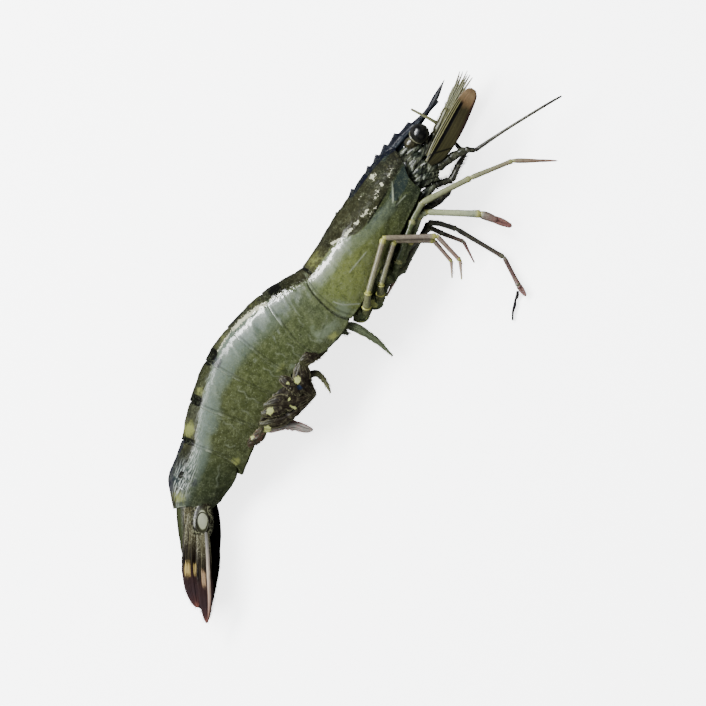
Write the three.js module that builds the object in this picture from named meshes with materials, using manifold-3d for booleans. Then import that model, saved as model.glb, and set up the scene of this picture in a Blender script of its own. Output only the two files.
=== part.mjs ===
// Raw tiger prawn, 200 mm long, lying on its left side with its right side up.
// Millimetres. +X points to the head, +Y to the back, -Y to the legs and +Z up.
// The origin is on the flat spot under the rear half of the carapace.
//
// The body is a string of hard rings on one bent line, the spine. A place on the body is
// (along, high, wide): along is the distance from the eye sockets to the tail, measured on the
// spine, high is the distance from the spine to the back, and wide is the distance from the
// middle plane, positive to the prawn's right.
import * as THREE from "three";
import { mergeVertices } from "three/addons/utils/BufferGeometryUtils.js";
import Module from "manifold-3d";

const wasm = await Module();
wasm.setup();

// ---- Driving dimensions -------------------------------------------------------------------

const FLOOR = 0; // nothing reaches lower

const SPINE_START = { x: 35.5, y: -6.2 }; // between the eye sockets
const SPINE_HEADING = 173.6; // degrees from +X, towards the tail
const SPINE_BENDS = [
  // along, turn in degrees, length of the bend
  { at: 22, turn: -2.2, over: 20 },
  { at: 48, turn: -15.9, over: 12 },
  { at: 60.5, turn: -5.5, over: 12 },
  { at: 72.9, turn: 17.5, over: 14 },
  { at: 85.3, turn: 12, over: 14 },
  { at: 99.9, turn: 7.5, over: 14 },
  { at: 114.9, turn: -6, over: 14 },
  { at: 132.6, turn: 28.5, over: 9 },
];

const CARAPACE_LENGTH = 50.1; // eye socket to rear margin, on the side
const PLEONITE_LENGTHS = [15.6, 12.2, 10.6, 12.9, 12.8, 19.0];

// Height above the spine, depth below it, half width, and height of the middle plane.
const BACK_HEIGHT = [[-9, 4.2], [0, 8.9], [21, 11.1], [44, 11.4], [60.5, 14.2], [72.9, 13.6],
  [85.3, 13.8], [99.9, 12.6], [114.9, 11.2], [124, 11.5], [134, 6.6]];
const BELLY_DEPTH = [[-9, 5.5], [0, 8.8], [21, 10.6], [44, 12.4], [60.5, 14.3], [72.9, 14.5],
  [85.3, 13.6], [99.9, 12.6], [114.9, 11], [124, 8.8], [134, 6.4]];
const HALF_WIDTH = [[-9, 5], [0, 8.4], [12, 10.2], [30, 11], [48, 10.4], [60.5, 10.3],
  [72.9, 10], [85.3, 9.6], [99.9, 8.8], [114.9, 7.6], [124, 6.2], [134, 4.8]];
const MIDDLE_HEIGHT = [[-9, 10.5], [30, 10.5], [48, 10], [60.5, 9.9], [72.9, 9.6], [85.3, 9.2],
  [99.9, 8.4], [114.9, 7.2], [124, 6], [134, 4.9]];
const FLAP_TUCK = [[0, 0.3], [48, 0.26], [85, 0.24], [114.9, 0.3], [122, 0.5], [134, 0.6]];
const BELLY_GROOVE = [[0, 0.33], [114, 0.33], [122, 0.16], [134, 0.08]];
const BACK_ROUNDNESS = [[0, 1.9], [40, 2.2], [60, 2.8], [100, 2.9], [115, 2.5], [134, 2]];

const RING_STEPS = { back: 5, flap: 5, groove: 2 }; // points from the back to the belly
const BACK_SHARE = 0.36; // of the way round, where the back becomes the flap
const EDGE_SHARE = 0.8; // and where the flap ends

const LIP = { thickness: 0.045, cupDepth: 3.2, cupScale: 0.93 };
// The neck at the front of a tail ring, and how far behind the margin it swells to the lip's size
// and to the full size.
const NECK = { length: 2.1, frontScale: 0.84, rearScale: 0.89, swell: 0.9, shoulder: 1.6 };
const LOBE_DROP = 0.08;
// How far each rear margin reaches back at the belly, past its place on the side.
const REAR_CORNER = [-2, -3.4, -2.8, -1.6, 0.8, 3.2, 0];
const REAR_NOTCH = [6, 1.2, 1, 1, 1, 1, -1]; // and how far forward on the back

// The rostrum, a toothed blade: its middle line and its half height, by x.
const ROSTRUM = {
  line: [[10, 6], [20, 4.2], [27, 2.2], [38, -0.4], [47, -2.9], [53, -5.2], [58, -6.6],
    [63, -7.2], [69.6, -7.4]],
  halfHeight: [[10, 1.4], [20, 2], [38, 2.8], [47, 2.4], [53, 1.6], [58, 1], [63, 1.1],
    [69.6, 0.12]],
  halfThickness: [[10, 1.6], [40, 1.7], [58, 0.9], [69.6, 0.12]],
  toothHeight: 1.2,
  toothLength: 4.2,
  backTeeth: [14.6, 23.8, 32.9, 37.5, 41.8, 46.6, 51.8],
  bellyTeeth: [62],
};

const EYE = {
  root: [44.4, -5.2, 2.7],
  ball: [49.6, -7.1, 6.6],
  radius: 3.3,
  stalkRadius: 1.6,
  neckRadius: 1.9, // where the ball sits on its stalk
  tipRadius: 0.3,
};

// Each limb starts at root [x, y, height, radius] and goes on by its own pieces
// [length, heading in degrees, rise, radius at the far joint].
const LEGS = {
  pereopod_5_right: {
    root: [-12.6, -14.8, 13, 1.7],
    podomeres: [[2.7, 16, 4.6, 1.5], [4.4, 17, 2.9, 1.15], [18.8, 8, 1.9, 1], [17.7, -64, -2.9, 0.9],
      [11.1, -112, -3.5, 0.7], [6.3, -151, -2, 0.25]],
  },
  pereopod_4_right: {
    root: [-6.6, -17.3, 12.6, 1.8],
    podomeres: [[2.5, 16, 4, 1.4], [2.9, 22, 2.3, 1.15], [15.1, 7, 1.1, 0.95],
      [13.2, -66, -2.7, 0.85], [8.9, -115, -3.3, 0.65], [5.6, -153, -2, 0.25]],
  },
  pereopod_3_right: {
    root: [3, -18, 13, 1.8],
    podomeres: [[5, 5, 2.6, 1.45], [14.5, 4, 0.7, 1.3], [6.2, -3, -0.8, 1.25], [18.7, -39, -2, 1],
      [15.1, -44, -1.5, 0.8], [15.1, -66, -1.5, 0.35]],
  },
  pereopod_2_right: {
    root: [9.5, -18.6, 11.2, 1.6],
    podomeres: [[6, 0, 2.6, 1.3], [8.7, 4, 0.2, 1.15], [2.9, -31, -0.3, 1.15],
      [18.5, -68, -2.4, 1], [11.1, -88, -1.5, 0.7]],
  },
  pereopod_1_right: {
    root: [16.5, -18.3, 11, 1.4],
    podomeres: [[4, -3, -0.1, 1.15], [6.1, 6, 0, 1.05], [6.1, -35, -0.2, 0.95],
      [6.2, -30, -0.7, 0.5]],
  },
  pereopod_1_left: {
    root: [15, -18.3, 7.8, 1.3],
    podomeres: [[5.5, -3, 0.2, 1.05], [5.9, 3, 0, 1], [5.8, -37, -0.4, 0.9], [6.1, -27, -0.6, 0.5]],
  },
  pereopod_2_left: {
    root: [8.5, -18.7, 8.2, 1.4],
    podomeres: [[5.8, 18, -3, 1.1], [10, -2, -0.2, 1.05], [3.8, -39, 0, 1],
      [17.9, -69, -0.6, 0.9], [10.7, -87, -0.8, 0.6]],
  },
  pereopod_3_left: {
    root: [3.5, -18.2, 8.6, 1.7],
    podomeres: [[3.7, -36, -3.1, 1.35], [4.3, -3, -3.1, 1.15], [13.6, -6, -0.2, 1.1],
      [3.3, -69, 0, 1], [6, -84, -0.2, 0.95], [18.8, -97, -0.4, 0.8], [10.9, -129, 0, 0.8],
      [4.1, -121, 0, 0.5]],
  },
  pereopod_4_left: {
    root: [-4.5, -17.2, 8.2, 1.6],
    podomeres: [[4.5, 0, -4.7, 1.2], [7.8, 1, -0.3, 1.1], [6.6, -20, 1.4, 1], [9.5, -22, 0.2, 0.95],
      [4.7, -91, -0.2, 0.9], [7.5, -87, -0.6, 0.7], [8, -129, -0.6, 0.25]],
  },
  pereopod_5_left: {
    root: [-12, -14.9, 7.5, 1.6],
    podomeres: [[4, -9, -4.1, 1.2], [4.2, -5, -1.9, 1.05], [15.3, -2, -0.4, 0.95],
      [9.4, -163, -0.2, 0.8], [6.5, 177, -0.1, 0.3]],
  },
  maxilliped_3_right: {
    root: [29.5, -17, 12.6, 1.35],
    podomeres: [[4, 0, 0.4, 1.3], [4.2, -34, 0, 1.2], [4.9, -51, -0.4, 1.15], [5.5, -1, -0.6, 0.9],
      [5, -8, -0.5, 0.4]],
  },
  maxilliped_3_left: {
    root: [29.5, -17, 6.8, 1.3],
    podomeres: [[4, 0, 0.8, 1.2], [4.1, -32, 0.8, 1.1], [4.8, -49, 0.4, 1.05], [5.5, -1, 0.1, 0.85],
      [4.6, -6, 0, 0.4]],
  },
};

// The pincer of each of the first three pairs. Its two fingers part at the share split of the last
// podomere. spread and thick are shares of the radius there, and palm is where the palm ends.
const CLAWED = /^pereopod_[123]_/;
const CLAW = { split: 0.42, palm: 0.55, spread: 0.62, thick: 0.62, tipRadius: 0.15 };

// The feelers: a stout foot and a thin whip, [length, heading, rise, radius at the far end].
const ANTENNAE = {
  antenna_right: {
    root: [42.4, -17.2, 14.3, 1.9],
    steps: [[4.9, -32, 0.5, 1.6], [5.5, -39, 0, 1.2], [3.2, -68, -0.4, 0.75], [10, -32, -1.4, 0.55],
      [10.6, -34, -0.6, 0.5], [9.8, -35, -0.4, 0.45], [3.8, -37, -0.2, 0.35]],
  },
  antenna_left: {
    root: [42.4, -17.2, 6.7, 1.8],
    steps: [[4.8, -30, -0.4, 1.5], [4.8, -38, -0.2, 1.1], [3.6, 62, 0, 0.6], [5.6, 44, 0, 0.5],
      [5.2, 22, 0, 0.35]],
  },
};
const ANTENNULES = {
  antennule_right: {
    root: [46.8, -11.7, 13, 1.6],
    foot: [[7, -7, 0.2, 1.4], [9, -3, -0.2, 1.1], [6, -3, -0.2, 0.8], [5.5, -4, -0.2, 0.35]],
    // a whip bent up across the rostrum
    whip: { root: [55, -12.2, 13.6, 0.7], steps: [[4, 84, 1.2, 0.55], [7, 86, -0.4, 0.4]] },
  },
  antennule_left: {
    root: [46.8, -11.5, 7.9, 1.5],
    foot: [[7, -6, -0.1, 1.3], [9, -2, 0, 1], [6, -1, 0, 0.7], [5.5, -2, -0.1, 0.35]],
    whip: { root: [61, -12.4, 7.9, 0.7], steps: [[4, 14, 0.4, 0.55], [4, 4, 0.2, 0.3]] },
  },
};

// Flat blades: root [x, y, height, half width, half thickness] and steps
// [length, heading, rise, half width, half thickness].
const BLADES = {
  antennal_scale_right: {
    root: [41.6, -13.8, 16.9, 1.4, 0.8],
    steps: [[5.1, -16, 0.3, 3.1, 0.65], [8.6, -7, 0, 3.6, 0.6], [9, -4, -0.2, 3.1, 0.5],
      [4.8, -6, -0.2, 2.2, 0.4], [1.4, -10, 0, 0.9, 0.3]],
    tilt: 8,
  },
  antennal_scale_left: {
    root: [41.6, -12.8, 4.2, 1.4, 0.8],
    steps: [[5.1, -8, -0.4, 3, 0.65], [8.6, -4, 0, 3.3, 0.6], [9, -4, 0.1, 2.8, 0.5],
      [4.4, -5, 0.1, 1.7, 0.4], [1.4, -8, 0, 0.6, 0.3]],
    tilt: -8,
  },
  telson: {
    root: [-94, 13.6, 5, 3.7, 3.3],
    steps: [[4.4, 200, 0, 3.5, 2.9], [6.8, 206, 0, 3.3, 2.4], [9, 208, 0.1, 2.6, 2],
      [8.1, 209, 0.1, 1.8, 1.4], [6.4, 212, 0.1, 0.4, 0.4]],
    tilt: 0,
  },
  uropod_base_right: {
    root: [-94.7, 8.1, 8.7, 1.3, 1.3],
    steps: [[1.4, 205, 0.2, 2.1, 1.8], [2.2, 207, 0.1, 2.4, 1.9], [1.6, 208, 0, 2, 1.5],
      [1, 208, 0, 1, 0.8]],
    tilt: 0,
  },
  uropod_base_left: {
    root: [-93.9, 5.9, 1.8, 1.5, 1],
    steps: [[1.4, 204, -0.2, 2.3, 1.2], [2.2, 207, 0, 2.6, 1.3], [1.6, 208, 0, 2.2, 1.1],
      [1, 208, 0, 1.1, 0.7]],
    tilt: 0,
  },
  uropod_endopod_right: {
    root: [-101.6, 9, 9, 1.5, 0.6],
    steps: [[4.7, 201, -0.1, 2.7, 0.5], [8.4, 204, -0.4, 3.3, 0.45], [6.8, 209, -0.5, 2.9, 0.4],
      [4.8, 214, -0.4, 1.5, 0.35], [1.4, 222, -0.1, 0.4, 0.3]],
    tilt: 0,
  },
  uropod_exopod_right: {
    root: [-101.3, 5.4, 10.5, 1.1, 0.6],
    steps: [[6.4, 206, 0, 2, 0.55], [7.6, 206, -0.4, 2.4, 0.5], [7.6, 207, -0.6, 2.2, 0.45],
      [6, 206, -0.6, 1.4, 0.4], [2.4, 204, -0.2, 0.3, 0.3]],
    tilt: 0,
  },
  uropod_endopod_left: {
    root: [-102, 8.2, 1.7, 1.5, 0.4],
    steps: [[5.4, 202, -0.1, 2.8, 0.4], [8.4, 206, 0, 3.3, 0.4], [6.8, 210, 0.1, 2.8, 0.35],
      [4.4, 214, 0.1, 1.4, 0.3], [1.2, 220, 0, 0.4, 0.25]],
    tilt: 0,
  },
  uropod_exopod_left: {
    root: [-100.2, 3.2, 0.55, 2.1, 0.4],
    steps: [[4, 200, 0, 3.3, 0.4], [7, 198, 0, 3.7, 0.4], [8, 200, 0, 3.1, 0.35],
      [5.8, 204, 0, 1.7, 0.3], [2.2, 206, 0, 0.5, 0.25]],
    tilt: 0,
  },
};

// The swimming legs, front to back. along is where each pair hangs from the belly; protopod is
// its round foot, and exopod and endopod are the two blades on it. Steps are as on a blade.
const PLEOPOD_WIDE = 3.6;
const PLEOPOD_HANG = 0.88; // of the way from the spine to the belly
const PLEOPOD_ROOT = { foot: [1.7, 1.7], exopod: [0.9, 0.6], endopod: [0.8, 0.5] };
const PLEOPODS = [
  {
    along: 54,
    protopod: [[2.6, -62, -0.3, 1.7], [3.4, -54, -0.4, 1.3]],
    exopod: [[3.6, -74, 0, 1.3, 0.7], [6.1, -98, 0, 1.4, 0.6], [7.8, -106, 0, 0.3, 0.3]],
    endopod: [[4.4, -120, -1, 1.1, 0.6], [3, -130, 0, 0.3, 0.3]],
  },
  {
    along: 63.5,
    protopod: [[2.4, -100, 0, 1.8], [2.8, -130, -0.2, 1.4]],
    exopod: [[5, 172, 0, 1.2, 0.7], [2.6, -100, 0, 0.9, 0.6], [3.2, -112, 0, 0.8, 0.5],
      [4.6, -119, 0, 0.2, 0.2]],
    endopod: [[3.4, 190, -1.4, 1.2, 0.6], [3.4, 200, 0, 0.3, 0.3]],
  },
  {
    along: 76,
    protopod: [[4, -104, -0.4, 1.9], [3.6, -108, -0.6, 1.4]],
    exopod: [[2.4, -96, -0.2, 1.3, 0.8], [2.4, -92, 0, 0.3, 0.3]],
    endopod: [[3.4, -150, -0.4, 1.4, 0.7], [3.4, -158, 0, 0.3, 0.3]],
  },
  {
    along: 91,
    protopod: [[2.2, -120, 0, 1.7], [2.2, -112, 0.4, 1.4]],
    exopod: [[3.6, -62, 1, 2.4, 0.8], [5.6, -48, 0.2, 2.7, 0.7], [4, -36, 0, 2, 0.6],
      [1.8, -30, 0, 0.6, 0.3]],
    endopod: [[4.2, -96, -2.2, 1.8, 0.6], [3.2, -70, 0, 1.4, 0.5], [1.8, -60, 0, 0.3, 0.3]],
  },
  {
    along: 103,
    protopod: [[1.8, -70, 0, 1.8], [1.8, -55, -0.2, 1.4]],
    exopod: [[3.6, -56, 0, 1.4, 0.7], [4.2, -60, 0, 1.7, 0.6], [6, -73, 0, 1.6, 0.5],
      [2.6, -76, 0, 0.5, 0.3]],
    endopod: [[3, -164, -1, 1.8, 0.8], [2.2, -176, 0, 0.5, 0.3]],
  },
];

// A strand caught in the claw of the left third leg.
const STRAND = { root: [14.4, -59.2, 0.55, 0.35], steps: [[4.5, 190, 0, 0.4], [5, 194, 0, 0.3]] };

const SHELL = { color: 0x5c6431, roughness: 0.32 };
const DARK = { color: 0x23251f, roughness: 0.4 };
const EYEBALL = { color: 0x1c1e1e, roughness: 0.12 };
const LEG = { color: 0x86886b, roughness: 0.4 };
const FAN = { color: 0x3e3232, roughness: 0.4 };

// ---- Curves and lines ---------------------------------------------------------------------

const HEAD_MIDDLE = MIDDLE_HEIGHT[0][1];

const radians = (degrees) => (degrees * Math.PI) / 180;
const clamp01 = (t) => Math.min(1, Math.max(0, t));
const smoothStep = (t) => clamp01(t) ** 2 * (3 - 2 * clamp01(t));

// A smooth curve through [place, value] stations, level past both ends.
function valueAt(stations, place) {
  const last = stations.length - 1;
  if (place <= stations[0][0]) return stations[0][1];
  if (place >= stations[last][0]) return stations[last][1];
  const i = stations.findIndex((station) => station[0] > place) - 1;
  const slope = (k) => {
    const a = stations[Math.max(0, k - 1)];
    const b = stations[Math.min(last, k + 1)];
    return (b[1] - a[1]) / (b[0] - a[0]);
  };
  const [x0, y0] = stations[i];
  const [x1, y1] = stations[i + 1];
  const span = x1 - x0;
  const t = (place - x0) / span;
  const bend = t * (1 - t) * span;
  const ease = t * t * (3 - 2 * t);
  return y0 + (y1 - y0) * ease + bend * ((1 - t) * slope(i) - t * slope(i + 1));
}

function heading(along) {
  const turned = SPINE_BENDS.map(({ at, turn, over }) => turn * smoothStep((along - at) / over + 0.5));
  return radians(SPINE_HEADING + turned.reduce((sum, turn) => sum + turn, 0));
}

// The spine's points, one each half millimetre, from summing up its heading.
const SPINE_STEP = 0.5;
const SPINE_LENGTH = 180;
const spinePoints = [[SPINE_START.x, SPINE_START.y]];
for (let i = 0; i < SPINE_LENGTH / SPINE_STEP; i++) {
  const angle = heading((i + 0.5) * SPINE_STEP);
  const [x, y] = spinePoints[i];
  spinePoints.push([x + SPINE_STEP * Math.cos(angle), y + SPINE_STEP * Math.sin(angle)]);
}

// A point of the body, given along the spine, high above it and wide of the middle plane.
function place(along, high, wide) {
  const angle = heading(along);
  const i = Math.min(spinePoints.length - 1, Math.max(0, Math.floor(along / SPINE_STEP)));
  const past = along - i * SPINE_STEP;
  const x = spinePoints[i][0] + past * Math.cos(angle) + high * Math.sin(angle);
  const y = spinePoints[i][1] + past * Math.sin(angle) - high * Math.cos(angle);
  return new THREE.Vector3(x, y, Math.max(FLOOR, valueAt(MIDDLE_HEIGHT, along) + wide));
}

// ---- Solids -------------------------------------------------------------------------------

// A closed surface through rings of points, each end closed to a pole.
function loft(rings, startPole, endPole) {
  const count = rings[0].length;
  const points = [...rings.flat(), startPole, endPole];
  const start = points.length - 2;
  const end = points.length - 1;
  const lastRing = (rings.length - 1) * count;
  const faces = [];
  for (let j = 0; j < count; j++) {
    const next = (j + 1) % count;
    for (let i = 0; i < lastRing; i += count) {
      faces.push([i + j, i + next, i + next + count]);
      faces.push([i + j, i + next + count, i + j + count]);
    }
    faces.push([start, next, j]);
    faces.push([end, lastRing + j, lastRing + next]);
  }
  const volume = faces.reduce((sum, [a, b, c]) => {
    return sum + points[a].dot(points[b].clone().cross(points[c]));
  }, 0);
  const outward = volume > 0 ? faces : faces.map(([a, b, c]) => [a, c, b]);
  const geometry = new THREE.BufferGeometry().setFromPoints(points);
  geometry.setIndex(outward.flat());
  return geometry;
}

function toManifold(geometry) {
  const bare = new THREE.BufferGeometry();
  bare.setAttribute("position", geometry.getAttribute("position"));
  bare.setIndex(geometry.index);
  const merged = mergeVertices(bare, 1e-4);
  const mesh = new wasm.Mesh({
    numProp: 3,
    vertProperties: merged.getAttribute("position").array,
    triVerts: new Uint32Array(merged.index.array),
  });
  return new wasm.Manifold(mesh);
}

function fromManifold(solid) {
  const mesh = solid.getMesh();
  const geometry = new THREE.BufferGeometry();
  geometry.setAttribute("position", new THREE.BufferAttribute(mesh.vertProperties, 3));
  geometry.setIndex(new THREE.BufferAttribute(mesh.triVerts, 1));
  return geometry;
}

// Several closed surfaces that cross, made one.
function fuse(geometries) {
  return fromManifold(geometries.map(toManifold).reduce((joined, next) => joined.add(next)));
}

const prawn = new THREE.Group();

function addPiece(name, finish, geometry) {
  const material = new THREE.MeshStandardMaterial({ ...finish, metalness: 0 });
  const mesh = new THREE.Mesh(geometry, material);
  mesh.name = name;
  prawn.add(mesh);
}

// A limb or a blade: a rounded section carried along stations of
// [x, y, z, half width, half thickness], its width lying across the way it runs. tilt leans the
// width out of level, in degrees.
function limb(stations, { sides = 6, tilt = 0 } = {}) {
  const centres = stations.map(([x, y, z]) => new THREE.Vector3(x, y, z));
  const rings = stations.map((station, i) => {
    const halfWidth = station[3];
    const halfThickness = station[4] ?? station[3];
    const before = centres[Math.max(0, i - 1)];
    const after = centres[Math.min(centres.length - 1, i + 1)];
    const way = after.clone().sub(before).normalize();
    const across = new THREE.Vector3(0, 0, 1).cross(way).normalize();
    const upward = way.clone().cross(across);
    across.applyAxisAngle(way, radians(tilt));
    upward.applyAxisAngle(way, radians(tilt));
    return Array.from({ length: sides }, (_, j) => {
      const angle = ((j + 0.5) / sides) * 2 * Math.PI;
      const point = centres[i].clone();
      point.addScaledVector(across, halfWidth * Math.cos(angle));
      point.addScaledVector(upward, halfThickness * Math.sin(angle));
      point.z = Math.max(FLOOR, point.z);
      return point;
    });
  });
  return loft(rings, centres[0], centres[centres.length - 1]);
}

// The stations of a limb from its root and its steps.
function walk(root, steps) {
  const stations = [root];
  for (const [length, headingDegrees, rise, ...size] of steps) {
    const [x, y, z] = stations[stations.length - 1];
    const angle = radians(headingDegrees);
    stations.push([x + length * Math.cos(angle), y + length * Math.sin(angle), z + rise, ...size]);
  }
  return stations;
}

// The station at a share of the way from a to b, its radius times slim.
function between(a, b, share, slim) {
  return a.map((value, k) => (value + (b[k] - value) * share) * (k === 3 ? slim : 1));
}

// One finger of a pincer: it bows out to its own side and meets the other at the tip.
function finger(from, to, side) {
  const { split, spread, thick, tipRadius } = CLAW;
  const [dx, dy] = [to[0] - from[0], to[1] - from[1]];
  const length = Math.hypot(dx, dy);
  const [base, tip] = [between(from, to, split, 1), between(from, to, 1, 1)];
  const at = (share, out, radius) => {
    const [x, y, z] = between(base, tip, share, 1);
    const beside = side * out * spread * base[3];
    return [x - (beside * dy) / length, y + (beside * dx) / length, z, radius];
  };
  const radius = thick * base[3];
  return limb([at(0, 0.7, radius), at(0.5, 1, radius * 0.85), at(0.85, 0.7, radius * 0.6),
    at(1, 0.3, tipRadius)]);
}

// A jointed leg: each podomere is slim along its length and swells at its joints.
function leg({ root, podomeres }, clawed) {
  const joints = walk(root, podomeres);
  const last = joints.length - 1;
  const stations = [joints[0]];
  for (let i = 1; i < joints.length; i++) {
    stations.push(between(joints[i - 1], joints[i], 0.2, 0.9));
    if (clawed && i === last) {
      stations.push(between(joints[i - 1], joints[i], CLAW.palm, 1));
    } else {
      stations.push(between(joints[i - 1], joints[i], 0.8, 0.86), joints[i]);
    }
  }
  if (!clawed) return limb(stations);
  const fingers = [1, -1].map((side) => finger(joints[last - 1], joints[last], side));
  return fuse([limb(stations), ...fingers]);
}

// ---- Rings of the body --------------------------------------------------------------------

// The way round a ring: share 0 on the back, 1 in the middle of the belly, side +1 right, -1 left.
const ringShares = [];
for (let i = 0; i < RING_STEPS.back; i++) ringShares.push((BACK_SHARE * i) / RING_STEPS.back);
for (let i = 0; i < RING_STEPS.flap; i++) {
  ringShares.push(BACK_SHARE + ((EDGE_SHARE - BACK_SHARE) * i) / RING_STEPS.flap);
}
for (let i = 0; i <= RING_STEPS.groove; i++) {
  ringShares.push(EDGE_SHARE + ((1 - EDGE_SHARE) * i) / RING_STEPS.groove);
}
const ringPlaces = [
  ...ringShares.map((share) => ({ share, side: 1 })),
  ...ringShares.slice(1, -1).reverse().map((share) => ({ share, side: -1 })),
];

// How much of the back, 1 at its crest and 0 on the side.
function backness(share) {
  return Math.cos((clamp01(share / BACK_SHARE) * Math.PI) / 2);
}

// How far down the flap, 0 at the back's end and 1 at the flap's edge and under the belly.
function flapness(share) {
  return clamp01((share - BACK_SHARE) / (EDGE_SHARE - BACK_SHARE));
}

// A point of the shell. The back is a rounded arch, the flap comes in towards its edge, and
// between the flaps the belly is a shallow groove. scale shrinks the ring to the spine, and lobe
// shortens the flap.
function shellPoint(along, { share, side }, scale, lobe = 1) {
  const halfWidth = valueAt(HALF_WIDTH, along);
  const depth = valueAt(BELLY_DEPTH, along) * lobe;
  const tuck = valueAt(FLAP_TUCK, along);
  let high;
  let wide;
  if (share <= BACK_SHARE) {
    const power = 2 / valueAt(BACK_ROUNDNESS, along);
    const angle = ((share / BACK_SHARE) * Math.PI) / 2;
    high = valueAt(BACK_HEIGHT, along) * Math.max(0, Math.cos(angle)) ** power;
    wide = halfWidth * Math.sin(angle) ** power;
  } else if (share <= EDGE_SHARE) {
    const down = flapness(share);
    high = -depth * down;
    wide = halfWidth * (1 - tuck * down ** 2.2);
  } else {
    const out = 1 - (share - EDGE_SHARE) / (1 - EDGE_SHARE);
    high = -depth * (1 - valueAt(BELLY_GROOVE, along) * (1 - out ** 3));
    wide = halfWidth * (1 - tuck) * out;
  }
  return place(along, high * scale, side * wide * scale);
}

// Where segment 0 (the carapace) to 6 ends, all the way round.
const sideMargins = [CARAPACE_LENGTH];
PLEONITE_LENGTHS.forEach((length, i) => sideMargins.push(sideMargins[i] + length));
function rearMargin(segment, share) {
  const forward = REAR_NOTCH[segment] * backness(share) ** 2;
  const backward = REAR_CORNER[segment] * flapness(share) ** 3;
  return sideMargins[segment] - forward + backward;
}

function ring(alongOf, scale, lobe) {
  return ringPlaces.map((where) => shellPoint(alongOf(where.share), where, scale, lobe));
}

// The hollow rear end of a segment, which takes the neck of the next.
function rearCup(segment) {
  return [
    ring((share) => rearMargin(segment, share), 1 - LIP.thickness, 1 - LOBE_DROP),
    ring((share) => rearMargin(segment, share) - LIP.cupDepth, LIP.cupScale, 1 - LOBE_DROP),
  ];
}

// ---- Carapace with its rostrum ------------------------------------------------------------

// The front margin: under the rostrum, the eye socket, the spine of the feeler, the lower corner.
const FRONT_MARGIN = [[0, -6.5], [0.2, -5], [0.36, -2.6], [0.55, 0.6], [0.8, 1.7], [1, 2]];
const FRONT_CUP = { along: 3.4, scale: 0.9, lipAlong: 0.4, lipScale: 0.93 };

function carapaceShell() {
  const front = (share) => valueAt(FRONT_MARGIN, share);
  const steps = 14;
  const rings = [
    ring(() => FRONT_CUP.along, FRONT_CUP.scale),
    ring((share) => front(share) + FRONT_CUP.lipAlong, FRONT_CUP.lipScale),
  ];
  for (let i = 0; i <= steps; i++) {
    const alongOf = (share) => front(share) + ((rearMargin(0, share) - front(share)) * i) / steps;
    rings.push(ring(alongOf, 1, 1 - LOBE_DROP * (i / steps) ** 4));
  }
  rings.push(...rearCup(0));
  const startPole = place(FRONT_CUP.along, 0, 0);
  return loft(rings, startPole, place(CARAPACE_LENGTH - LIP.cupDepth, 0, 0));
}

// A thin blade with forward teeth on both edges, thickest on its middle line.
function rostrumBlade() {
  const { line, halfHeight, halfThickness, toothHeight, toothLength } = ROSTRUM;
  const tooth = (teeth, x) => Math.max(0, ...teeth.map((at) => {
    const behind = (at - x) / toothLength;
    return behind < -0.08 ? 0 : toothHeight * (1 - Math.abs(behind));
  }));
  const startX = line[0][0];
  const endX = line[line.length - 1][0];
  const steps = 56;
  const rings = [];
  for (let i = 0; i < steps; i++) {
    const x = startX + ((endX - startX) * i) / steps;
    const y = valueAt(line, x);
    const up = valueAt(halfHeight, x) + tooth(ROSTRUM.backTeeth, x);
    const down = -valueAt(halfHeight, x) * 0.8 - tooth(ROSTRUM.bellyTeeth, x) * 0.6;
    const thick = valueAt(halfThickness, x);
    const section = [[up, 0], [0, thick], [down * 0.5, thick * 0.8], [down, 0],
      [down * 0.5, -thick * 0.8], [0, -thick]];
    rings.push(section.map(([high, wide]) => new THREE.Vector3(x, y + high, HEAD_MIDDLE + wide)));
  }
  const pole = (x) => new THREE.Vector3(x, valueAt(line, x), HEAD_MIDDLE);
  return loft(rings, pole(startX), pole(endX));
}

addPiece("carapace", SHELL, fuse([carapaceShell(), rostrumBlade()]));

// ---- Pleonites, the six rings of the tail -------------------------------------------------

function pleonite(number) {
  const front = (share) => rearMargin(number - 1, share);
  const rear = (share) => rearMargin(number, share);
  const ends = 1 - LOBE_DROP;
  const steps = 5;
  const rings = [
    ring((share) => front(share) - NECK.length, NECK.frontScale, ends),
    ring(front, NECK.rearScale, ends),
    ring((share) => front(share) + NECK.swell, 1 - LIP.thickness, ends),
  ];
  for (let i = 0; i <= steps; i++) {
    const alongOf = (share) => {
      const start = front(share) + NECK.shoulder;
      return start + ((rear(share) - start) * i) / steps;
    };
    rings.push(ring(alongOf, 1, 1 - LOBE_DROP * Math.abs((2 * i) / steps - 1) ** 3));
  }
  rings.push(...rearCup(number));
  const startPole = place(sideMargins[number - 1] - NECK.length, 0, 0);
  return loft(rings, startPole, place(sideMargins[number] - LIP.cupDepth, 0, 0));
}

for (let number = 1; number <= 6; number++) addPiece(`pleonite_${number}`, SHELL, pleonite(number));

// ---- Under the carapace -------------------------------------------------------------------

// The breastplate that closes the belly under the carapace, with a swelling at each pair of legs.
const STERNUM = { front: 5, rear: 44.5, depth: 0.93, halfHeight: 0.19, halfWidth: 5.2, pairs: 6 };

function breastplate() {
  const { front, rear, depth, halfHeight, halfWidth, pairs } = STERNUM;
  const steps = pairs * 4;
  const sides = 10;
  const rings = [];
  for (let i = 0; i <= steps; i++) {
    const along = front + ((rear - front) * i) / steps;
    const swell = 0.8 - 0.2 * Math.cos((2 * Math.PI * i * pairs) / steps);
    const bellyDepth = valueAt(BELLY_DEPTH, along);
    rings.push(Array.from({ length: sides }, (_, j) => {
      const angle = (2 * Math.PI * j) / sides;
      const high = bellyDepth * (halfHeight * swell * Math.cos(angle) - depth);
      return place(along, high, halfWidth * Math.sin(angle));
    }));
  }
  const pole = (along) => place(along, -depth * valueAt(BELLY_DEPTH, along), 0);
  return loft(rings, pole(front), pole(rear));
}

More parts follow.
